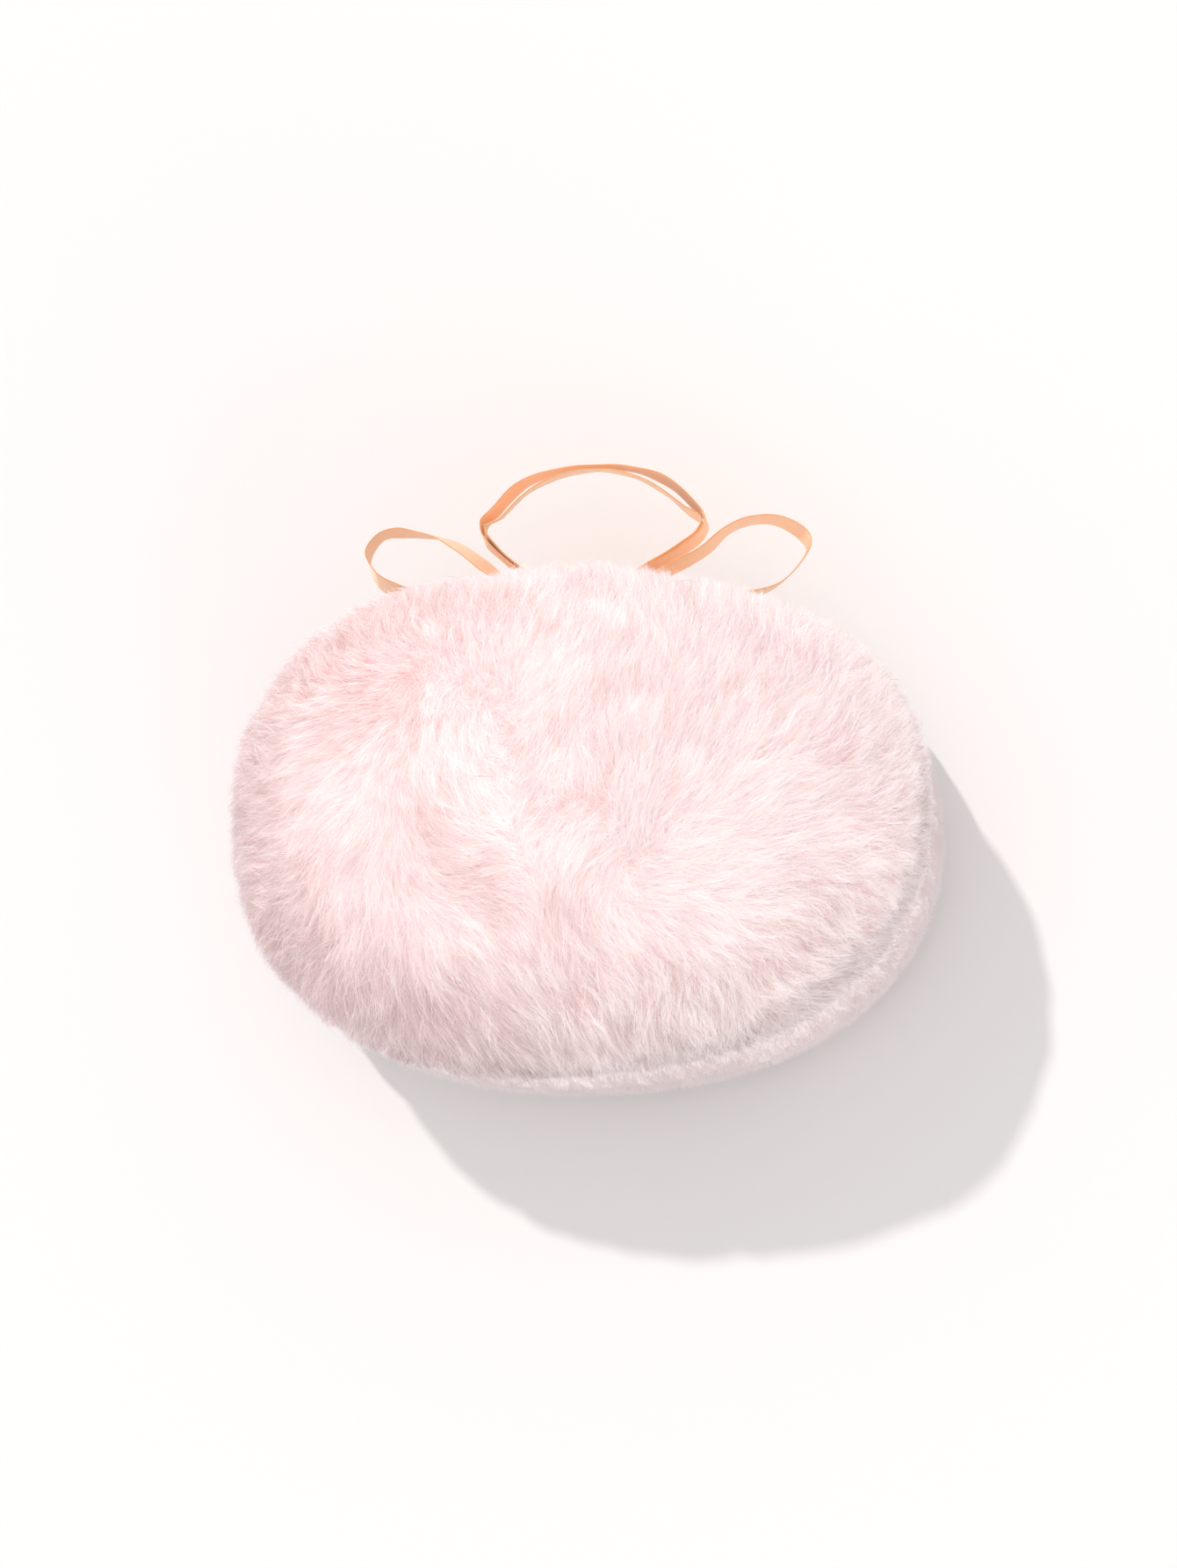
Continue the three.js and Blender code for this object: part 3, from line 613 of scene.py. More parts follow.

# %% [markdown]
# ## Combing the pile
# A hand that strokes plush leaves a pattern: fibres run out from a whorl, lie flat in long
# streaks, and part in hollows where the pink depth shows, deepened there by painted shade.
# A few comb strokes say that: each has a place on the paper pattern, a direction and how far
# the fibres lean. Between strokes the direction is their mean, weighted by
# 1 / (distance² + softness²)².

# %% Comb strokes
# x, y on the pattern, direction in degrees, lean in millimetres
COMB_STROKES = np.array([
    (-19.9, 3.6, -148, 4.5), (-25.5, -2.0, -170, 4.5), (-16.5, -0.9, -129, 4.5),
    (-13.6, -4.1, -121, 4.5), (-16.2, -7.1, -111, 6.0), (-11.4, -5.5, -72, 4.5),
    (-10.5, -12.1, -104, 6.5), (-7.4, -13.4, -60, 6.0), (-8.1, -6.2, -37, 4.0),
    (-4.5, -6.8, -21, 4.0), (-2.4, -5.1, -18, 4.0), (-4.3, -0.6, -59, 3.8), (-5.8, 3.4, -72, 3.4),
    (3.1, -4.6, -157, 3.4), (1.6, -6.4, -108, 4.0), (0.6, -9.7, -96, 4.5), (1.5, -2.5, -146, 3.4),
    (5.2, -11.0, -76, 4.5), (7.8, -12.7, -60, 5.0), (10.4, -10.3, -39, 5.5), (8.8, -6.7, -6, 4.5),
    (13.7, -4.8, 14, 5.5), (17.0, -0.3, 36, 5.0), (11.6, 2.8, 63, 4.2), (5.7, 2.5, 71, 3.8),
    (3.8, 5.1, 88, 3.6), (0.7, 1.2, 45, 3.4), (6.3, -2.2, 70, 3.2), (-1.6, 11.2, 97, 3.6),
    (6.7, 10.9, 81, 4.0), (16.3, 11.7, 59, 4.5), (23.3, 7.1, 39, 5.0), (28.8, 2.0, 19, 5.5),
    (32.0, -4.5, 4, 5.5), (30.8, -8.8, -8, 5.5), (23.6, -11.1, -11, 6.0), (20.6, -15.0, -25, 6.0),
    (14.4, -18.8, -41, 6.0), (5.4, -18.6, -58, 6.0), (-0.9, -17.3, -74, 6.0),
    (-6.2, -19.0, -83, 5.5), (-16.1, -17.9, -132, 6.0), (-21.1, -13.2, -147, 6.0),
    (-24.5, -8.9, -161, 5.0), (-14.2, 15.8, 128, 2.6), (-20.7, 12.9, 157, 3.0),
    (-23.9, 5.6, -178, 3.6), (-13.6, 6.8, -160, 1.6), (-8.3, 5.6, -90, 1.6),
    (-6.0, 11.2, 100, 1.6), (2.5, 2.2, 90, 2.0),
])
COMB_SOFTNESS = 2.2
# The rim, where the pile points outwards: shares of the way out where that begins and ends, and
# how much of it. At a whorl the strokes disagree, and the pile leans less than elsewhere.
RIM_COMB, RIM_PULL = (0.7, 1.05), 0.75
AGREEING, WHORL_LEAN = (0.05, 0.85), 0.65
# x, y, radius in millimetres, depth as a share of the pile, which also sets the painted shade
HOLLOWS = np.array([
    (1.3, -7.7, 2.4, 0.14), (-4.0, -6.8, 3.4, 0.14), (-9.5, 0.1, 3.6, 0.1),
    (-0.3, -12.0, 3.0, 0.12), (17.1, -2.8, 2.2, 0.1), (22.5, -11.4, 2.6, 0.12),
    (23.6, 0.1, 2.2, 0.08), (-15.6, 5.9, 4.5, 0.06), (-9.0, -3.3, 3.6, 0.08),
])


def combed(x, y):
    """
    Direction of the pile as unit x and y, its lean in millimetres, and how far the strokes around
    a place agree, from 0 to 1. Where they don't agree, at a whorl, the pile leans less.
    """
    away = (x[:, None] - COMB_STROKES[:, 0]) ** 2 + (y[:, None] - COMB_STROKES[:, 1]) ** 2
    weight = 1 / (away + COMB_SOFTNESS**2) ** 2
    weight /= weight.sum(1, keepdims=True)
    heading = np.radians(COMB_STROKES[:, 2])
    dx, dy = weight @ np.cos(heading), weight @ np.sin(heading)
    share, turn = pattern_place(x, y)
    outward = ease(*RIM_COMB, share) * RIM_PULL
    dx = dx * (1 - outward) + np.cos(turn) * outward
    dy = dy * (1 - outward) + np.sin(turn) * outward
    size = np.hypot(dx, dy) + TINY
    agreement = ease(*AGREEING, size)
    reach = (weight @ COMB_STROKES[:, 3]) * (WHORL_LEAN + (1 - WHORL_LEAN) * agreement)
    return dx / size, dy / size, reach, agreement


def hollow_depth(x, y):
    """How deep the pile is parted at a place: a sum of round soft hollows, depth · e^(-d²/r²)."""
    away = (x[:, None] - HOLLOWS[:, 0]) ** 2 + (y[:, None] - HOLLOWS[:, 1]) ** 2
    return np.exp(-away / HOLLOWS[:, 2] ** 2) @ HOLLOWS[:, 3]


print("comb strokes:", len(COMB_STROKES), "hollows:", len(HOLLOWS))


# %% [markdown]
# ## Fibres
# Each fibre is a flat tapering blade of three lengths, five triangles in all. Its root stands in
# the felt, it rises quickly and then leans over along the comb. Neighbours share a lock, whose
# tips draw together, and smaller wisps inside it, because real plush never has single fibres in
# even rows. Roots follow the spiral of a sunflower, radius √(i / n) and turn i · 137.5°, which
# fills an oval evenly.


# %% Roots and locks
# Roots are spread over this share of the oval, each shifted by about so many millimetres.
SPIRAL_SHARE, ROOT_SHIFT = 1.12, 0.15
# The surface is measured at a lift, by a step in millimetres, and this percentile counts as full.
MEASURED_LIFT, MEASURED_STEP, FULL_PERCENTILE = 0.7, 0.05, 97


def spiral_roots(count, panel, most_share, rng):
    """
    Roots on the pattern, spread evenly over the real surface: sunflower places, thinned where the
    panel is less stretched, by the area of a small step on it.
    """
    i = np.arange(count) + 0.5
    out = np.sqrt(i / count) * SPIRAL_SHARE
    turn = i * np.pi * (3 - np.sqrt(5))
    x = HALF_LENGTH * out * np.cos(turn) + rng.normal(0, ROOT_SHIFT, count)
    y = HALF_WIDTH * out * np.sin(turn) + rng.normal(0, ROOT_SHIFT, count)
    keep = pattern_place(x, y)[0] < most_share
    x, y = x[keep], y[keep]

    def at(a, b):
        return panel_surface(panel, *pattern_place(a, b), MEASURED_LIFT)

    here = at(x, y)
    along, across = at(x + MEASURED_STEP, y) - here, at(x, y + MEASURED_STEP) - here
    area = np.linalg.norm(np.cross(along, across), axis=1)
    kept = rng.random(len(x)) < area / np.percentile(area, FULL_PERCENTILE)
    return x[kept], y[kept]


def locks(x, y, size, seed):
    """
    The nearest lock for each root: its middle and four random numbers of its own. Lock middles
    stand on a grid of `size` millimetres, each shifted at random inside its cell.
    """
    rng = np.random.default_rng(seed)
    shift = rng.random((LATTICE, LATTICE, 2))
    traits = rng.normal(0, 1, (LATTICE, LATTICE, 4))
    i, j = np.floor(x / size).astype(int), np.floor(y / size).astype(int)
    best = np.full(len(x), np.inf)
    mx, my, own = np.zeros(len(x)), np.zeros(len(x)), np.zeros((len(x), 4))
    for a, b in ((a, b) for a in (-1, 0, 1) for b in (-1, 0, 1)):
        ci, cj = (i + a) % LATTICE, (j + b) % LATTICE
        cx, cy = (i + a + shift[ci, cj, 0]) * size, (j + b + shift[ci, cj, 1]) * size
        away = (cx - x) ** 2 + (cy - y) ** 2
        near = away < best
        best = np.where(near, away, best)
        mx, my = np.where(near, cx, mx), np.where(near, cy, my)
        own[near] = traits[ci, cj][near]
    return mx, my, own


# %% Blades
# How much a blade's flat side and its light lean to the sky, and how much it tapers.
SKYWARD, LIGHT_SKYWARD, TAPER, TAPER_POWER = 0.6, 3.0, 0.75, 1.5
UP = np.array([0.0, 0.0, 1.0])
# The part of the map that the fibres use, and the number of tones on it.
MAP_LOW, MAP_SPAN, TONE_STEPS = 0.004, 0.992, 64
# A blade's width varies by this share, between these limits.
WIDTH_SPREAD, WIDTH_LIMITS = 0.25, (0.5, 1.6)


def blades(paths, face, width, tone, rng, roll, softness):
    """
    Flat tapering blades along paths (fibre, station, xyz). Each turns its flat side to the open
    sky, which is `face` leaning upwards, give or take a random roll. Its shading normal is a mix
    of its own side and a direction that leans upwards more, because light that scatters between
    pale fibres comes out evenly. Returns points, triangles, the fibres' map, whose x is the tone
    and whose y runs from root to tip, and normals.
    """
    count, stations, _ = paths.shape
    tone = np.round(np.clip(tone, 0, 1) * TONE_STEPS) / TONE_STEPS
    width = width * np.clip(1 + WIDTH_SPREAD * rng.normal(0, 1, count), *WIDTH_LIMITS)
    along = unit(paths[:, -1] - paths[:, 0])
    open_sky = unit(face + SKYWARD * UP)
    side = unit(np.cross(along, open_sky))
    angle = (rng.normal(0, 1, count) * roll)[:, None]
    side = side * np.cos(angle) + np.cross(side, along) * np.sin(angle)
    t = np.linspace(0, 1, stations)
    half = 0.5 * width[:, None] * (1 - TAPER * t[:-1] ** TAPER_POWER)
    spread = side[:, None, :] * half[..., None]
    pairs = np.stack([paths[:, :-1] - spread, paths[:, :-1] + spread], 2).reshape(count, -1, 3)
    points = np.concatenate([pairs, paths[:, -1:]], 1)
    each = points.shape[1]
    a = 2 * np.arange(stations - 2)[:, None]
    lengths = np.concatenate([a + (0, 1, 3), a + (0, 3, 2)], 1).reshape(-1, 3)
    faces = np.concatenate([lengths, [(each - 3, each - 2, each - 1)]])
    triangles = (np.arange(count)[:, None, None] * each + faces).reshape(-1, 3)
    high = np.append(np.repeat(t[:-1], 2), 1.0)
    places = np.broadcast_arrays(MAP_LOW + MAP_SPAN * tone[:, None], MAP_LOW + MAP_SPAN * high)
    upright = (along * open_sky).sum(1, keepdims=True) ** 2
    even = softness + (1 - softness) * upright
    lit = unit(face + LIGHT_SKYWARD * UP)
    normal = unit(np.cross(side, along) * (1 - even) + lit * even)
    uv = np.stack(places, -1).reshape(-1, 2)
    return points.reshape(-1, 3), triangles, uv, np.repeat(normal, each, 0)


def pile_layer(name, fibres, material, node):
    """A layer of fibres as one piece. So thin a layer lets light through, so it has no shadow."""
    points, triangles, uv, normals = fibres
    layer = make_piece(name, points, [triangles], material, uv, "OFBake", normals)
    layer.visible_shadow = False
    dress(layer, "puff", node)


# %% Growing the long pile
# Locks, wisps and strands: the size of their grid in millimetres and the seed.
LOCK, WISP, STRAND = (2.8, 21), (0.85, 22), (0.4, 27)
# The comb wavers by these angles: size, grain in millimetres and seed, the last at a whorl only.
WAVERS, WHORL_WAVER = ((0.28, 9.0, 23), (0.14, 3.5, 24)), (2.2, 1.7, 26)
GROUP_SWAY, WHORL_SWAY = 0.12, 2.5
# How much the lean varies by lock, by wisp and by fibre, and its limits.
LEAN_SPREAD, LEAN_LIMITS = (0.12, 0.1, 0.1), (0.25, 1.7)
# How much the tip's lift varies, its limits, how far a hollow lowers it, and the root's lift: at
# most this share of the skin, this far below the tip, and no deeper than the lean times a slope.
TIP_SPREAD, TIP_LIMITS, HOLLOW_DROP = (0.035, 0.03, 0.04), (0.4, 1.2), 0.4
HIGHEST_ROOT, LEAST_RISE, STEEPEST = 0.6, 0.08, 0.075
FIBRE_STATIONS, RISE_POWER, LEAN_POWER, MIDDLE_SHARE = 4, 1.5, 1.2, 0.65
# How far out roots grow, and the fringe: shares of the way out where it begins and is full, how
# far it hangs out and down in millimetres, and how much of that is even.
ROOTED_SHARE, FRINGE, OVERHANG, LEAST_HANG = 1.1, (0.9, 1.04), (1.3, 1.8), 0.6
# Towards the rim the blades roll less: where that begins and is full, and by what share.
STEADY_RIM, STEADY_SHARE = (0.7, 1.0), 0.8
# Turns round the rim where the pile gets the most painted shade, where its streaks are
# strongest, their fibre-to-fibre spread partly painted glints, and where painted shade dims
# the top that the sun lights most, with the shares of the way out where each begins and is
# full, and how narrow it is.
SHADED, STREAKS_AND_GLINTS, SUNLIT_DIM = (212, (0.2, 0.85), 2.2), (285, (0.2, 0.9), 1), (85, (0.05, 0.6), 3)
# Where the painted shade is taken off the rim, as light from outside would take it, by what
# share, and where the rim's own painted pink shade lies.
RIM_LIGHT, LIT_RIM, RIM_SHADE = (0.85, 1.05), 0.65, (0.8, 1.02)
# The tone starts pale, in soft patches. Painted shade takes from it in the shaded zone, in the
# streaks, on the sunlit top, at the rim and in the hollows. Each lock, wisp, strand and fibre
# varies it, everywhere and by so much more in streaks, where that spread partly paints glints
# and shaded gaps between fibres.
PALE_TONE, TONE_PATCHES, TONE_LOSSES = 0.96, (0.06, 8.0, 25), (0.85, 0.05, 0.16, 0.04, 1.8)
TONE_SPREADS = ((0.05, 0.0), (0.05, 0.12), (0.1, 0.35), (0.14, 0.3))


def zone(share, turn, at, reach, narrow):
    """1 at one side of the rim and 0 across from it and in the middle, by (1 + cos)^narrow."""
    return ease(*reach, share) * facing(turn, math.radians(at)) ** narrow


def fibre_tone(x, y, share, turn, lock, wisp, strand, hollow, rng):
    """How pale each fibre is: painted shade in zones and hollows, and most spread in streaks."""
    # Painted shade on the shaded side, eased off at the very rim; painted glints in the streaks.
    shaded = zone(share, turn, *SHADED) * (1 - LIT_RIM * ease(*RIM_LIGHT, share))
    streaks_and_glints, sunlit_dim = zone(share, turn, *STREAKS_AND_GLINTS), zone(share, turn, *SUNLIT_DIM)
    rim = ease(*RIM_SHADE, share) * (1 - shaded)
    tone = PALE_TONE + soft_noise(x, y, *TONE_PATCHES)
    for loss, zone_depth in zip(TONE_LOSSES, (shaded, streaks_and_glints, sunlit_dim, rim, hollow)):
        tone -= loss * zone_depth
    traits = (lock, wisp, strand, rng.normal(0, 1, len(x)))
    for (everywhere, in_streaks), trait in zip(TONE_SPREADS, traits):
        tone += (everywhere + in_streaks * streaks_and_glints) * trait
    return tone


def long_fibres(count, seed, height, lean, width, clump, wild, roll, softness):
    """
    Blades of the front pile. A fibre's lift runs root + (tip - root) · (1 - (1 - t)^1.5), and
    its lean grows as t^1.2 along the comb, drawn towards the tip of its lock and of its wisp.
    Places are spread evenly for the point at 0.65 of the lean, so that the pile stays as full
    where it runs apart as where it runs together. At the fringe the tips hang over the crease.
    """
    rng = np.random.default_rng(seed)
    x, y = spiral_roots(count, FRONT_PANEL, ROOTED_SHARE, rng)
    n = len(x)
    lock_x, lock_y, lock = locks(x, y, *LOCK)
    wisp_x, wisp_y, wisp = locks(x, y, *WISP)
    strand_x, strand_y, strand = locks(x, y, *STRAND)

    def swept(px, py, sway):
        dx, dy, reach, agreement = combed(px, py)
        waver = sum(soft_noise(px, py, *waver) for waver in WAVERS)
        waver = waver + (1 - agreement) * soft_noise(px, py, *WHORL_WAVER) + sway
        c, s = np.cos(waver), np.sin(waver)
        way = np.stack([dx * c - dy * s, dx * s + dy * c], -1)
        return way * (reach * amount)[:, None]

    own_sway = wild * rng.normal(0, 1, n) * (1 + WHORL_SWAY * (1 - combed(x, y)[3]))
    by_lock, by_wisp, by_fibre = LEAN_SPREAD
    varied = 1 + by_lock * lock[:, 1] + by_wisp * wisp[:, 1] + by_fibre * rng.normal(0, 1, n)
    amount = np.clip(lean * varied, *LEAN_LIMITS)
    lock_sway, wisp_sway = GROUP_SWAY * lock[:, 0], GROUP_SWAY * wisp[:, 0]
    own = swept(x, y, lock_sway + wisp_sway + own_sway)
    of_lock = swept(lock_x, lock_y, lock_sway)
    of_wisp = swept(wisp_x, wisp_y, lock_sway + wisp_sway)
    place = np.stack([x, y], -1)
    lock_pull, wisp_pull, strand_pull = clump
    free = 1 - MIDDLE_SHARE
    drawn = lock_pull * (np.stack([lock_x, lock_y], -1) - place + (of_lock - own) * free)
    drawn += wisp_pull * (np.stack([wisp_x, wisp_y], -1) - place + (of_wisp - own) * free)
    drawn += strand_pull * (np.stack([strand_x, strand_y], -1) - place)

    share, turn = pattern_place(x, y)
    hollow = hollow_depth(x, y)
    skin = skin_height(FRONT_PANEL, share, turn)
    by_lock, by_wisp, by_fibre = TIP_SPREAD
    varied = by_lock * lock[:, 2] + by_wisp * wisp[:, 2] + by_fibre * rng.normal(0, 1, n)
    tip = np.clip(skin * (height + varied) * (1 - HOLLOW_DROP * hollow), *TIP_LIMITS)
    root = np.minimum(HIGHEST_ROOT * skin, tip - LEAST_RISE)
    root = np.maximum(root, tip - STEEPEST * np.hypot(own[:, 0], own[:, 1]))

    t = np.linspace(0, 1, FIBRE_STATIONS)
    lay = t**LEAN_POWER
    px = x[:, None] + own[:, :1] * (lay - MIDDLE_SHARE) + drawn[:, :1] * lay
    py = y[:, None] + own[:, 1:] * (lay - MIDDLE_SHARE) + drawn[:, 1:] * lay
    lifts = root[:, None] + (tip - root)[:, None] * (1 - (1 - t) ** RISE_POWER)
    far, around = pattern_place(px, py)
    paths = panel_surface(FRONT_PANEL, np.minimum(far, FRONT_PANEL["shares"][-1]), around, lifts)
    evenly = LEAST_HANG + (1 - LEAST_HANG) * rng.random(n)
    hang = ease(*FRINGE, share)[:, None] * t * evenly[:, None]
    _, nx, ny = outline(around)
    over = np.stack([nx * OVERHANG[0], ny * OVERHANG[0], np.full_like(nx, -OVERHANG[1])], -1)
    paths = parted(paths + over * hang[..., None], 1)
    face = skin_facing(FRONT_PANEL, share, turn)
    face[:, 2] = np.maximum(face[:, 2], 0)
    tone = fibre_tone(x, y, share, turn, lock[:, 3], wisp[:, 3], strand[:, 3], hollow, rng)
    steady = roll * (1 - STEADY_SHARE * ease(*STEADY_RIM, share))
    return blades(paths, unit(face), width, tone, rng, steady, softness)


LONG_LAYERS = {
    # name: candidates, seed, height, lean, width, pull of lock, wisp and strand, wildness, roll,
    # evenness of its light
    "front_down": (60000, 31, 0.9, 0.55, 0.13, (0.05, 0.1, 0.2), 0.5, 0.4, 0.7),
    "front_long_pile_a": (70000, 32, 0.96, 0.75, 0.1, (0.06, 0.2, 0.3), 0.22, 0.45, 0.6),
    "front_long_pile_b": (70000, 33, 0.98, 0.8, 0.1, (0.06, 0.2, 0.35), 0.22, 0.45, 0.6),
    "front_long_pile_c": (70000, 34, 1.0, 0.85, 0.09, (0.06, 0.2, 0.4), 0.22, 0.55, 0.45),
    "front_long_pile_d": (70000, 36, 1.01, 0.9, 0.09, (0.06, 0.2, 0.45), 0.22, 0.6, 0.35),
    "front_long_pile_e": (70000, 37, 0.99, 0.85, 0.09, (0.06, 0.2, 0.4), 0.25, 0.6, 0.4),
    "front_guard_hairs": (70000, 35, 1.04, 0.95, 0.08, (0.04, 0.2, 0.45), 0.3, 0.7, 0.05),
    "front_fly_hairs": (16000, 38, 1.12, 0.75, 0.06, (0.0, 0.05, 0.1), 0.8, 0.7, 0.5),
}
for name, values in LONG_LAYERS.items():
    paint = glossy_pile if name.endswith("hairs") else long_pile
    pile_layer(name, long_fibres(*values), paint, "front_plush_pile")


# %% [markdown]
# ## Short pile of the back
# The back's pile is a third as long, so it stands almost upright and looks like velvet. Its
# fibres need only two lengths each. They are dense round the side, where they show as a smooth
# band under the fringe, and sparser on the face that the puff lies on.


# %% Growing the short pile
SHORT_WISP, SHORT_STATIONS, SHORT_POWER = (1.0, 41), 3, 1.4
SHORT_LEAN, SHORT_LEANS, SHORT_PULL, SHORT_ROOT = 2.4, (0.48, 0.5), 0.25, 0.6
SHORT_ROLL, SHORT_EVENNESS, TABLE_GAP = 0.12, 0.9, 0.05
# Sway in radians, tip and tone: soft patches where there are any, and what a wisp and a fibre add.
SHORT_WAVER, SHORT_SWAYS, SHORT_TIPS = (0.5, 5.0, 42), (0.3, 0.35), (0.02, 0.03)
SHORT_TIP_LIMITS, SHORT_TONE = (0.8, 1.06), 0.6
SHORT_PATCHES, SHORT_TONES = (0.15, 6.0, 43), (0.1, 0.12)


def short_fibres(count, seed, shares, width):
    """Blades of the back pile between two shares of the way out, almost upright."""
    rng = np.random.default_rng(seed)
    x, y = spiral_roots(count, BACK_PANEL, shares[1], rng)
    share, turn = pattern_place(x, y)
    keep = share > shares[0]
    x, y, share, turn = x[keep], y[keep], share[keep], turn[keep]
    n = len(x)
    wisp_x, wisp_y, wisp = locks(x, y, *SHORT_WISP)

    def varied(trait, spread):
        return spread[0] * wisp[:, trait] + spread[1] * rng.normal(0, 1, n)

    lean = SHORT_LEAN + varied(0, SHORT_LEANS)
    sway = np.pi + soft_noise(x, y, *SHORT_WAVER) + varied(1, SHORT_SWAYS)
    move = np.stack([np.cos(turn + sway), np.sin(turn + sway)], -1) * lean[:, None]
    move = move + SHORT_PULL * np.stack([wisp_x - x, wisp_y - y], -1)
    tip = np.clip(1 + varied(2, SHORT_TIPS), *SHORT_TIP_LIMITS)
    t = np.linspace(0, 1, SHORT_STATIONS)
    lay = t**SHORT_POWER
    lifts = SHORT_ROOT + (tip - SHORT_ROOT)[:, None] * t
    lifts = skin_height(BACK_PANEL, share, turn)[:, None] * lifts
    far, around = pattern_place(x[:, None] + move[:, :1] * lay, y[:, None] + move[:, 1:] * lay)
    paths = parted(panel_surface(BACK_PANEL, np.minimum(far, 1.0), around, lifts), -1)
    paths[..., 2] = np.maximum(paths[..., 2], TABLE_GAP)
    face = unit(skin_facing(BACK_PANEL, share, turn))
    tone = SHORT_TONE + soft_noise(x, y, *SHORT_PATCHES) + varied(3, SHORT_TONES)
    return blades(paths, face, width, tone, rng, SHORT_ROLL, SHORT_EVENNESS)


for name, values in {
    "back_side_pile": (110000, 51, (0.5, 1.0), 0.13),
    "rest_face_pile": (60000, 52, (0.0, 0.5), 0.16),
}.items():
    pile_layer(name, short_fibres(*values), short_pile, "back_plush_pile")

# %% [markdown]
# ## Ground cloths and stuffing
# Under the pile each panel is a knitted cloth, turned in at the seam. Nobody sees it in a whole
# puff, but it is a piece of its own, so it gets the same care: a thin closed shell on the
# profile, with a knit of rows and wales. The stuffing is a loose body of fibre inside both.

# %% Knit group and cloth material
WALE_SHARE, LOOP_SHARE, LOOP_LENGTH = 0.6, 0.3, 1.4
knit, given, result = new_group("knit", {**PALE_DEEP, "Pitch": "value"}, RELIEF)
place = add_node(knit, "ShaderNodeTexCoord").outputs["Object"]
axes = add_node(knit, "ShaderNodeSeparateXYZ", {0: place}).outputs
across = math_node(knit, "MULTIPLY", axes["X"], given.outputs["Pitch"])
along = math_node(knit, "MULTIPLY", axes["Y"], given.outputs["Pitch"])
wales = math_node(knit, "ABSOLUTE", math_node(knit, "SINE", across))
rows = math_node(knit, "ADD", math_node(knit, "MULTIPLY", along, LOOP_LENGTH), wales)
slant = math_node(knit, "MULTIPLY", math_node(knit, "SINE", rows), LOOP_SHARE)
height = math_node(knit, "ADD", math_node(knit, "MULTIPLY", wales, WALE_SHARE), slant)
colour = mix_colours(knit, height, given.outputs["Deep"], given.outputs["Pale"])
knit.links.new(height, result.inputs["Height"])
knit.links.new(colour, result.inputs["Colour"])

knit_cloth, tree, shader = new_material("knit_cloth", Roughness=0.85, Sheen_Weight=0.2)
yarn = {"Pale": rgb(0.95, 0.80, 0.81), "Deep": rgb(0.88, 0.68, 0.70), "Pitch": 4200.0}
lay_surface(tree, shader, use_group(tree, knit, **yarn), 0.12)

# %% Ground cloths
CLOTH_RINGS, FOLD_RINGS = 70, 6


def cloth_rings(shape, first_step, side):
    """
    Rings of a cloth panel: its face, the allowance turned in along the seam, and its inner side.
    side 1 is the front, walked from the face; -1 the back, walked from inside.
    """
    steps = np.linspace(first_step, 2, CLOTH_RINGS)
    face_r, face_z = profile(shape, steps)
    back_r, back_z = profile(shape, steps, CLOTH_THICKNESS)
    fold = np.linspace(SEAM_RADIUS - 1, SEAM_RADIUS - ALLOWANCE, FOLD_RINGS)
    flat = [np.full(FOLD_RINGS, z) for z in (face_z[-1], back_z[-1])]
    radius = np.concatenate([face_r, fold, fold[::-1], back_r[::-1]])
    height = np.concatenate([face_z, *flat, back_z[::-1]])
    rings = carried(radius[:, None], height[:, None], ring_turn[None, :])
    return rings if side > 0 else rings[::-1]


for name, shape, first_step, side, node in (
    ("front_ground_cloth", FRONT_CLOTH, 0, 1, "front_backing_cloth"),
    ("back_ground_cloth", BACK_CLOTH, -1, -1, "back_backing_cloth"),
):
    cloth = make_shell(name, cloth_rings(shape, first_step, side), knit_cloth)
    dress(cloth, "puff", node)

# %% Stuffing
STUFFING_RINGS, SINK_DEPTH, SINK_SIZE, SINK_SEED = 60, 0.6, 4.0, 61
inset = CLOTH_THICKNESS + GAP
upper_r, upper_z = profile(FRONT_CLOTH, np.linspace(0, 2, STUFFING_RINGS), inset)
lower_r, lower_z = profile(BACK_CLOTH, np.linspace(-1, 2, STUFFING_RINGS), inset)
neck = SEAM_RADIUS - ALLOWANCE - GAP
radius = np.concatenate([upper_r, [neck, neck], lower_r[::-1]])[:, None]
height = np.concatenate([upper_z, [upper_z[-1], lower_z[-1]], lower_z[::-1]])[:, None]
x, y = radius * np.cos(ring_turn), radius * np.sin(ring_turn)
sink = SINK_DEPTH / 2 + soft_noise(x, y, SINK_DEPTH / 2, SINK_SIZE, SINK_SEED)
rings = carried(radius, height, ring_turn[None, :])
rings = rings + unit(UP * SEAM_RADIUS / 2 - rings) * sink[..., None]
stuffing = make_shell("stuffing", rings, stuffing_fibre)
dress(stuffing, "puff", "fibre_filling")

# %% [markdown]
# ## Satin ribbon
# The ribbon is 6 mm single-faced satin. Threads that float across it give the gloss, and both
# edges carry a row of tiny loops, a picot. The hanging loop is doubled, one layer inside the
# other, and the bow is one loop to each side. Each ribbon is a band swept along a route, with its
# width standing up from the table and gathered where it enters the knot. Satin this thin lets so
# much light through that its turns hardly shade each other, so the bands cast no shadow and a
# sheen in the ribbon's own colour fills their dark side.

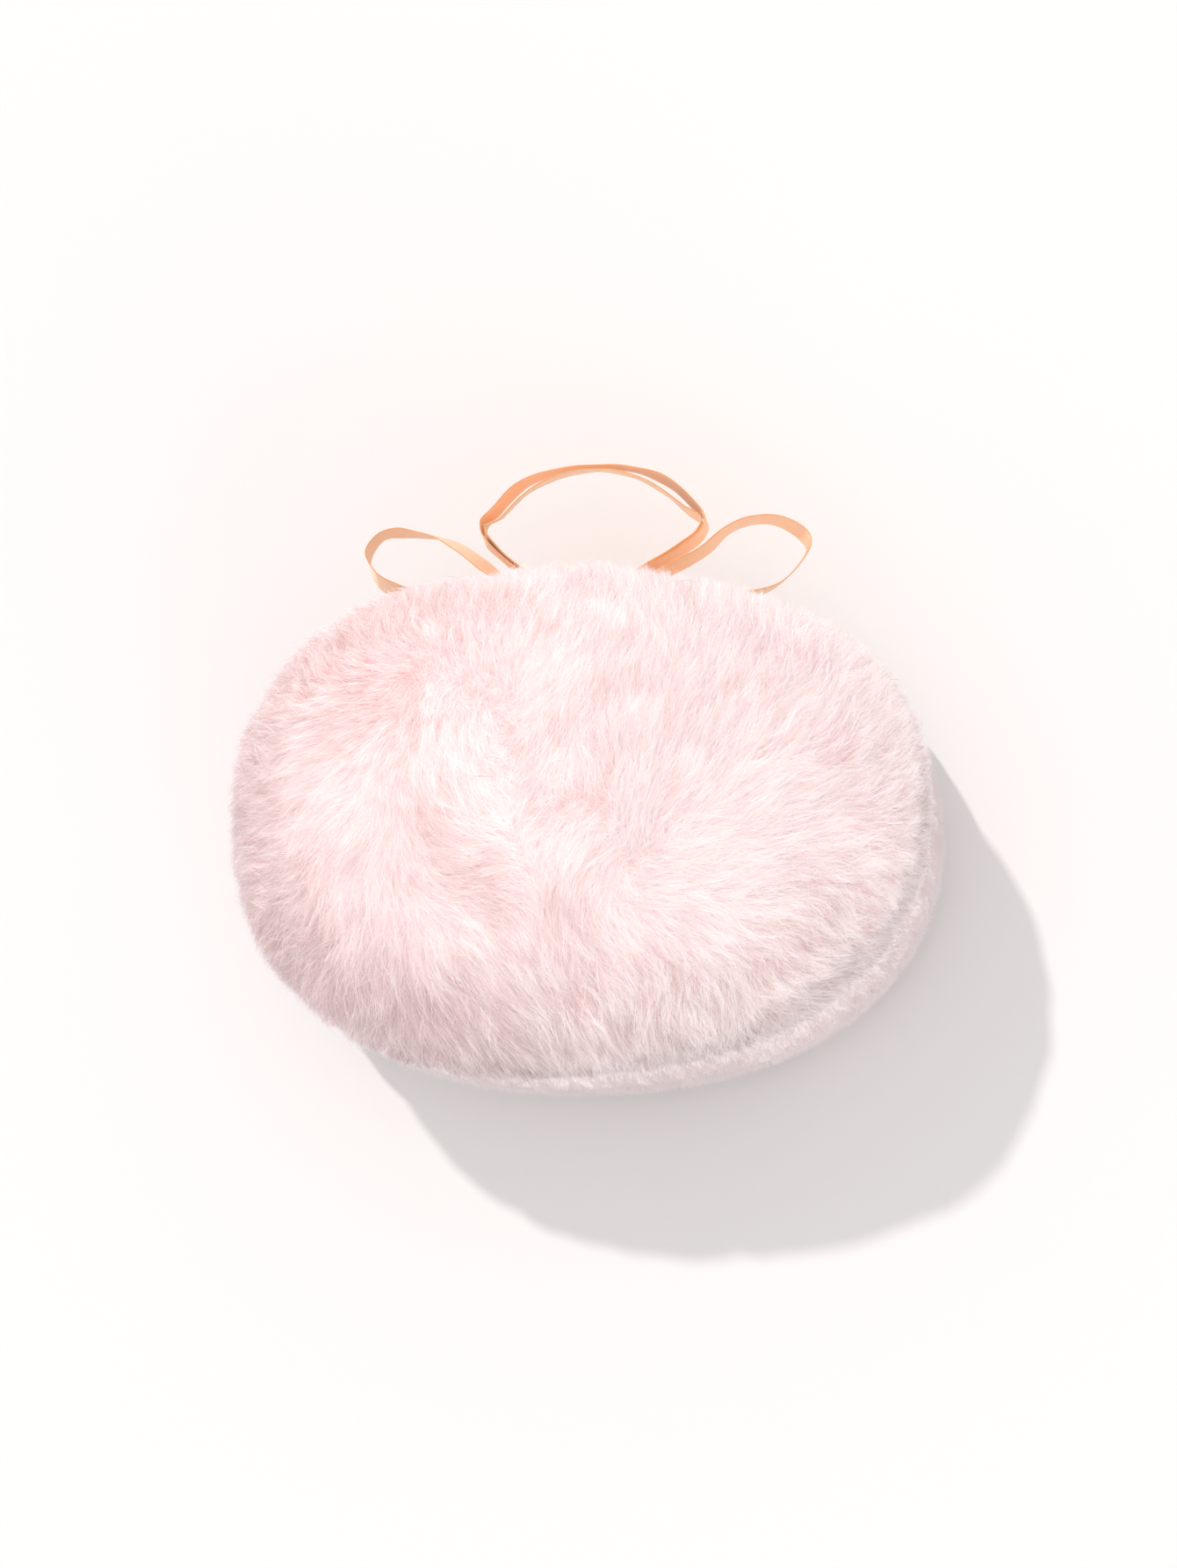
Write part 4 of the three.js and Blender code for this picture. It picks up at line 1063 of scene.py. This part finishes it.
# %% Satin group
EDGE_ROW, FLOAT_PITCH, WEFT_PITCH = (0.92, 1.0), 42.0, 110.0
FLOAT_SHARE, WEFT_SHARE = 0.35, 0.5
satin, given, result = new_group(
    "satin",
    {"Face": "colour", "Edge": "colour", "Place": "vector"},
    {**RELIEF, "Roughness": "value"},
)
place = given.outputs["Place"]
axes = add_node(satin, "ShaderNodeSeparateXYZ", {0: place}).outputs
edge = map_range(satin, math_node(satin, "ABSOLUTE", axes["Y"]), *EDGE_ROW)
floats = math_node(satin, "SINE", math_node(satin, "MULTIPLY", axes["X"], FLOAT_PITCH))
wefts = math_node(satin, "SINE", math_node(satin, "MULTIPLY", axes["Y"], WEFT_PITCH))
stretched = add_node(
    satin, "ShaderNodeVectorMath", {0: place, 1: (0.5, 6.0, 1.0)}, operation="MULTIPLY"
)
grain = {"Vector": stretched.outputs[0], "Scale": 3.0, "Detail": 3.0}
streaks = add_node(satin, "ShaderNodeTexNoise", grain).outputs["Fac"]
colour = mix_colours(satin, edge, given.outputs["Face"], given.outputs["Edge"])
tint = map_range(satin, streaks, 0.3, 0.7, 0.93, 1.03)
colour = mix_colours(satin, 1.0, colour, tint, "MULTIPLY")
floats = math_node(satin, "MULTIPLY", floats, FLOAT_SHARE)
wefts = math_node(satin, "MULTIPLY", wefts, WEFT_SHARE)
satin.links.new(colour, result.inputs["Colour"])
satin.links.new(math_node(satin, "ADD", floats, wefts), result.inputs["Height"])
satin.links.new(map_range(satin, streaks, 0.3, 0.7, 0.3, 0.42), result.inputs["Roughness"])


# %% Satin materials
def satin_material(name, place_of):
    """Satin whose weave follows a place: millimetres along the ribbon, and -1 to 1 across it."""
    material, tree, shader = new_material(
        name, Specular_IOR_Level=0.08, Anisotropic=0.5,
        Sheen_Weight=1.0, Sheen_Roughness=0.4, Sheen_Tint=rgb(1.0, 0.74, 0.57),
    )
    made = use_group(tree, satin, Face=SATIN_FACE, Edge=SATIN_EDGE, Place=place_of(tree))
    lay_surface(tree, shader, made, WEAVE_DEPTH)
    tree.links.new(made.outputs["Roughness"], shader.inputs["Roughness"])
    return material


def along_ribbon(tree):
    """The ribbon's own map: its x is millimetres along, its y is -1 to 1 across."""
    return add_node(tree, "ShaderNodeUVMap", uv_map="ribbon").outputs["UV"]


def across_tab(tree):
    """Object coordinates as a ribbon place: y in millimetres along, x over half the width."""
    place = add_node(tree, "ShaderNodeTexCoord").outputs["Object"]
    axes = add_node(tree, "ShaderNodeSeparateXYZ", {0: place}).outputs
    along = math_node(tree, "MULTIPLY", axes["Y"], 1 / MM)
    across = math_node(tree, "MULTIPLY", axes["X"], 1 / (TAB_HALF * MM))
    return add_node(tree, "ShaderNodeCombineXYZ", {0: along, 1: across}).outputs[0]


# The picot edges are a deeper orange: partly the edge thread's own colour, partly painted shade of
# the narrow folds that are seen edge-on.
SATIN_FACE, SATIN_EDGE = rgb(1.0, 0.67, 0.43), rgb(0.99, 0.50, 0.23)
WEAVE_DEPTH, TAB_HALF = 0.003, 3.2
ribbon_satin = satin_material("ribbon_satin", along_ribbon)
tab_satin = satin_material("tab_satin", across_tab)
print("satin:", ribbon_satin.name, tab_satin.name)


# %% Routes
def smooth_path(rows, count, power):
    """
    A Catmull-Rom curve through the rows at `count` even parameters. Knots are spaced by distance
    to the power: 0.5 keeps tight corners free of loops, 0 is the plain curve.
    """
    p = np.concatenate([[2 * rows[0] - rows[1]], rows, [2 * rows[-1] - rows[-2]]])
    t = np.linspace(0, len(rows) - 1, count)
    i = np.minimum(t.astype(int), len(rows) - 2)
    f = (t - i)[:, None]
    gap = np.maximum(np.linalg.norm(np.diff(p[:, :3], axis=0), axis=1), TINY) ** power
    a, b, c = gap[i][:, None], gap[i + 1][:, None], gap[i + 2][:, None]
    p0, p1, p2, p3 = p[i], p[i + 1], p[i + 2], p[i + 3]
    m1 = ((p1 - p0) / a - (p2 - p0) / (a + b) + (p2 - p1) / b) * b
    m2 = ((p2 - p1) / b - (p3 - p1) / (b + c) + (p3 - p2) / c) * b
    return (
        (2 * f**3 - 3 * f**2 + 1) * p1
        + (f**3 - 2 * f**2 + f) * m1
        + (3 * f**2 - 2 * f**3) * p2
        + (f**3 - f**2) * m2
    )


def drawn_in(route, size):
    """
    A route moved to its inner side by DOUBLED_GAP, growing to SHOULDER_GAP at both shoulders as
    sin²(4π s), with s the share of the route from its top, up to 1/4. It has leans of its own.
    """
    rows = route.copy()
    ends = np.pad(route[:, :2] * size[:2], ((1, 1), (0, 0)), "edge")
    along = unit(ends[2:] - ends[:-2])
    from_top = np.linspace(-0.5, 0.5, len(route))
    apart = np.where(np.abs(from_top) < 1 / 4, np.sin(4 * np.pi * from_top) ** 2, 0)
    gap = DOUBLED_GAP + (SHOULDER_GAP - DOUBLED_GAP) * apart
    rows[:, 0] += along[:, 1] * gap / size[0]
    rows[:, 1] -= along[:, 0] * gap / size[1]
    rows[:, 3] = INNER_LEANS
    return rows


KNOT = np.array([0.0, KNOT_Y, KNOT_Z])
HANGING_SIZE = np.array([34.4, 18.7, 3.0])
BOW_SIZE = np.array([33.4, 11.1, 1.5])
# The two layers of the hanging loop: how far apart they are at the roots, corners and top, and at
# the shoulders, and the leans of the inner one in degrees.
DOUBLED_GAP, SHOULDER_GAP = 0.45, 1.6
INNER_LEANS = (0, 0, -3, -6, -12, -16, -18, -17, -13, -11, -6, -1, 2, 5, 6, 5, 2, 0, 0)
RIBBON_HALF, RIBBON_THICKNESS = 3.0, 0.22
# across, out, up as shares of the loop's size, lean in degrees, and how far the ribbon is spread
HANGING_ROUTE = np.array([
    (-0.108, 0.075, 0, 0, 0.34), (-0.18, 0.12, 0, 0, 0.5), (-0.29, 0.225, 0.02, -3, 0.8),
    (-0.387, 0.374, 0.06, -5, 0.96), (-0.455, 0.52, 0.14, -9, 1), (-0.452, 0.63, 0.24, -9, 1),
    (-0.398, 0.72, 0.38, -6, 1), (-0.276, 0.905, 0.7, -7, 1), (-0.116, 0.984, 0.95, -10, 1),
    (0.055, 1, 1, -10, 1), (0.227, 0.963, 0.9, -5, 1), (0.372, 0.856, 0.65, 5, 1),
    (0.475, 0.675, 0.35, 8, 1), (0.525, 0.545, 0.2, 7, 1), (0.505, 0.445, 0.1, 6, 1),
    (0.425, 0.335, 0.04, 5, 0.95), (0.288, 0.2, 0.01, 2, 0.75), (0.18, 0.105, 0, 0, 0.5),
    (0.108, 0.075, 0, 0, 0.34),
])
BOW_LEFT_ROUTE = np.array([
    (-0.112, 0.018, 0, 0, 0.25), (-0.19, 0.08, 0, -5, 0.42), (-0.3, 0.21, 0, -12, 0.72),
    (-0.42, 0.38, 0, -17, 0.93), (-0.49, 0.56, 0.1, -17, 1), (-0.57, 0.75, 0.4, -16, 1),
    (-0.65, 0.885, 0.7, -12, 1), (-0.75, 0.96, 0.9, -4, 1), (-0.84, 1, 1, -1, 1),
    (-0.937, 0.945, 1, -8, 1), (-0.991, 0.7, 0.8, -9, 1), (-0.952, 0.396, 0.5, -14, 1),
    (-0.85, 0.207, 0.2, -12, 1), (-0.74, 0.11, 0.1, -8, 1), (-0.54, -0.02, 0, 0, 0.95),
    (-0.3, -0.054, 0, 0, 0.7), (-0.112, -0.065, 0, 0, 0.3),
])
BOW_RIGHT_ROUTE = np.array([
    (0.112, 0, 0, 0, 0.25), (0.175, 0.06, 0, 1, 0.42), (0.275, 0.17, 0, 2, 0.66),
    (0.41, 0.35, 0, 1, 0.84), (0.535, 0.53, 0.1, -3, 0.95), (0.63, 0.757, 0.3, -7, 1),
    (0.74, 0.865, 0.6, -5, 1), (0.86, 0.83, 0.9, 3, 1), (0.96, 0.667, 1, 13, 1),
    (1.003, 0.486, 1, 17, 1), (0.96, 0.252, 0.7, 18, 1), (0.86, 0.01, 0.3, 16, 1),
    (0.72, -0.108, 0.1, 3, 1), (0.52, -0.144, 0, -8, 0.92), (0.3, -0.108, 0, -4, 0.66),
    (0.112, -0.08, 0, 0, 0.3),
])


# %% Ribbon bands
BAND_STATIONS, BAND_COLUMNS, PATH_STATIONS = 640, 13, 4000
PICOT_PITCH, PICOT_SIZE = 0.55, 0.14
# Folds where the ribbon is gathered: the sizes and the waves across it of a wide and a narrow one.
FOLD_SIZES, FOLD_WAVES, MOST_GATHERED = (0.5, 0.25), (7.0, 11.0), 0.7
CURL, CURL_LEVEL, CURL_PITCH, RIPPLE, RIPPLE_PITCH = 0.1, 0.4, 0.21, 0.03, 1.1
# Thickness at the picot edge and elsewhere, as shares of the ribbon's.
EDGE_SHARE, FACE_SHARE = 0.45, 0.85


def band_frame(route, size, side):
    """
    Centre, facing and rise of a ribbon at even distances along its route, its distance in
    millimetres and its fullness. The rise stands up and leans out of the loop by the lean.
    """
    fine = smooth_path(route[:, :3] * size + KNOT, PATH_STATIONS, 0.5)
    shape = smooth_path(np.pad(route[:, 3:], ((0, 0), (0, 1))), PATH_STATIONS, 0.0)
    run = np.concatenate([[0], np.cumsum(np.linalg.norm(np.diff(fine, axis=0), axis=1))])
    even = np.linspace(0, run[-1], BAND_STATIONS)
    centre = np.stack([np.interp(even, run, fine[:, c]) for c in range(3)], -1)
    lean, fullness = (np.interp(even, run, shape[:, c]) for c in range(2))
    lean = np.radians(lean)[:, None]
    along = unit(np.gradient(centre, even, axis=0))
    rise = UP * np.cos(lean) + side * unit(np.cross(along, UP)) * np.sin(lean)
    rise = unit(rise - along * (rise * along).sum(1, keepdims=True))
    return centre, np.cross(rise, along), rise, even, fullness


def ribbon_band(name, route, size, side, body, node, phase):
    """
    A closed band with two faces. Across the ribbon, q runs from -1 to 1: the rise is
    q · half width · fullness, the facing offset a shallow curl c · q² and, where the ribbon is
    gathered, folds (1 - fullness) · sin. The outermost column swells in picots |sin(π s / pitch)|.
    """
    centre, way, rise, run, fullness = band_frame(route, size, side)
    q = np.sin(np.linspace(-np.pi / 2, np.pi / 2, BAND_COLUMNS))
    at_edge = np.isin(np.arange(BAND_COLUMNS), (0, BAND_COLUMNS - 1))
    gathered = np.clip(1 - fullness, 0, MOST_GATHERED)[:, None]
    (deep, shallow), (wide, narrow) = FOLD_SIZES, FOLD_WAVES
    folds = gathered * (deep * np.sin(q * wide + phase) + shallow * np.cos(q * narrow - phase))
    curl = CURL * (q**2 - CURL_LEVEL) * np.sin(run * CURL_PITCH + phase)[:, None]
    ripple = RIPPLE * np.sin(run * RIPPLE_PITCH + 2 * phase)[:, None] * q
    picot = PICOT_SIZE * np.abs(np.sin(np.pi * run / PICOT_PITCH))[:, None]
    high = RIBBON_HALF * fullness[:, None] * q + np.where(at_edge, np.sign(q) * picot, 0)
    half = 0.5 * RIBBON_THICKNESS * np.where(at_edge, EDGE_SHARE, FACE_SHARE)
    middle = centre[:, None] + rise[:, None] * high[..., None]
    bent = folds + curl + ripple
    upper, lower = (middle + way[:, None] * (bent + s * half)[..., None] for s in (1, -1))
    ring = np.concatenate([upper, lower[:, ::-1]], 1)
    stations, around = ring.shape[:2]
    i = np.arange(around)
    j = (i + 1) % around
    k = np.arange(stations - 1)[:, None] * around
    quads = np.stack([k + i, k + j, k + around + j, k + around + i], -1).reshape(-1, 4)
    c = np.arange(BAND_COLUMNS - 1)
    start = np.stack([c, around - 1 - c, around - 2 - c, c + 1], -1)
    last = (stations - 1) * around + start[:, ::-1]
    uv = np.stack(np.broadcast_arrays(run[:, None], np.concatenate([q, q[::-1]])), -1)
    faces = [quads, start, last]
    band = make_piece(name, ring.reshape(-1, 3), faces, ribbon_satin, uv.reshape(-1, 2), "ribbon")
    band.visible_shadow = False
    dress(band, body, node)
    print(name, "length:", round(float(run[-1]), 1), "mm")


HANGING_INNER = drawn_in(HANGING_ROUTE, HANGING_SIZE)
for name, *values in (
    ("hanging_loop_outer", HANGING_ROUTE, HANGING_SIZE, -1, "hanging_loop", "_ribbon", 0.4),
    ("hanging_loop_inner", HANGING_INNER, HANGING_SIZE, -1, "hanging_loop", "_ribbon", 1.7),
    ("bow_left", BOW_LEFT_ROUTE, BOW_SIZE, 1, "bow_left", "_loop", 2.9),
    ("bow_right", BOW_RIGHT_ROUTE, BOW_SIZE, -1, "bow_right", "_loop", 4.1),
):
    route, size, side, body, node_end, phase = values
    ribbon_band(name + "_satin", route, size, side, body, name + node_end, phase)

# %% [markdown]
# ## Knot and threads
# A short piece of the same ribbon is wrapped round the middle of the bow and squeezed into
# pleats. It is a ring swept round the knot, whose surface is folded along its width. The stitches
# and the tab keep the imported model's shapes, and get thread and satin of their own.

# %% Knot wrap
WRAP_HALF_DEPTH, WRAP_HALF_HEIGHT, WRAP_HALF_WIDTH, WRAP_POWER = 2.2, 2.2, 3.0, 2.8
WRAP_AROUND, WRAP_SECTION, WRAP_FILL, FLAT_WALL, ROUND_END = 160, 72, 0.97, 0.25, 0.5
# How deep the middle of the wall lies, its half thickness, and how much the wrap is waisted.
WALL_DEPTH, WALL_HALF, WAIST = 0.32, 0.28, 0.12
WIDE_PLEAT, WIDE_PLEATS, PLEAT_SWAY, FINE_PLEAT, FINE_PLEATS = 0.1, 9.0, 1.2, 0.05, 17.0


def powered(value, power):
    """The value to the power, with its sign kept: it turns a circle into a rounded box."""
    return np.sign(value) * np.abs(value) ** power


round_turn = np.linspace(0, 2 * np.pi, WRAP_AROUND, endpoint=False)
section_turn = np.linspace(0, 2 * np.pi, WRAP_SECTION, endpoint=False)
a, s = np.meshgrid(round_turn, section_turn, indexing="ij")
across, wall = powered(np.cos(s), FLAT_WALL), powered(np.sin(s), ROUND_END)
pleats = WIDE_PLEAT * np.sin(across * WIDE_PLEATS + PLEAT_SWAY * np.sin(a))
pleats += FINE_PLEAT * np.sin(across * FINE_PLEATS + a)
depth = -WALL_DEPTH + wall * WALL_HALF + pleats - WAIST * across**2
level = (np.abs(np.cos(a)) ** WRAP_POWER + np.abs(np.sin(a)) ** WRAP_POWER) ** (-1 / WRAP_POWER)
x = WRAP_HALF_WIDTH * WRAP_FILL * across
y = KNOT_Y + (WRAP_HALF_DEPTH + depth) * level * np.cos(a)
z = KNOT_Z + (WRAP_HALF_HEIGHT + depth) * level * np.sin(a)
i, j = np.indices(a.shape)
ni, nj = (i + 1) % WRAP_AROUND, (j + 1) % WRAP_SECTION
corners = [ci * WRAP_SECTION + cj for ci, cj in ((i, j), (i, nj), (ni, nj), (ni, j))]
wrap_uv = np.stack([a * WRAP_HALF_DEPTH, across], -1).reshape(-1, 2)
knot_wrap = make_piece(
    "knot_wrap_satin", np.stack([x, y, z], -1).reshape(-1, 3),
    [np.stack(corners, -1).reshape(-1, 4)], ribbon_satin, wrap_uv, "ribbon",
)
dress(knot_wrap, "puff", "bow_knot_wrap")

# %% Thread group and material
ply, given, result = new_group("ply", PALE_DEEP, RELIEF)
place = add_node(ply, "ShaderNodeTexCoord").outputs["Object"]
waves = {"Vector": place, "Scale": 900.0, "Distortion": 1.5, "Detail": 1.0}
twist = add_node(ply, "ShaderNodeTexWave", waves, bands_direction="DIAGONAL").outputs["Fac"]
colour = mix_colours(ply, twist, given.outputs["Deep"], given.outputs["Pale"])
ply.links.new(colour, result.inputs["Colour"])
ply.links.new(twist, result.inputs["Height"])
sewing_thread, tree, shader = new_material("sewing_thread", Roughness=0.55, Sheen_Weight=0.2)
made = use_group(tree, ply, Pale=rgb(0.96, 0.84, 0.85), Deep=rgb(0.82, 0.64, 0.66))
lay_surface(tree, shader, made, 0.05)

THREADS = ("machine_seam_thread", "closing_ladder_stitch", "bow_tack_stitches")
for name in (*THREADS, "bow_knot_core", "bow_anchor_tab"):
    slots = nodes[name].data.materials
    paint = sewing_thread if name in THREADS else tab_satin
    if len(slots):
        slots[0] = paint
    else:
        slots.append(paint)
    print(name, "gets", paint.name)
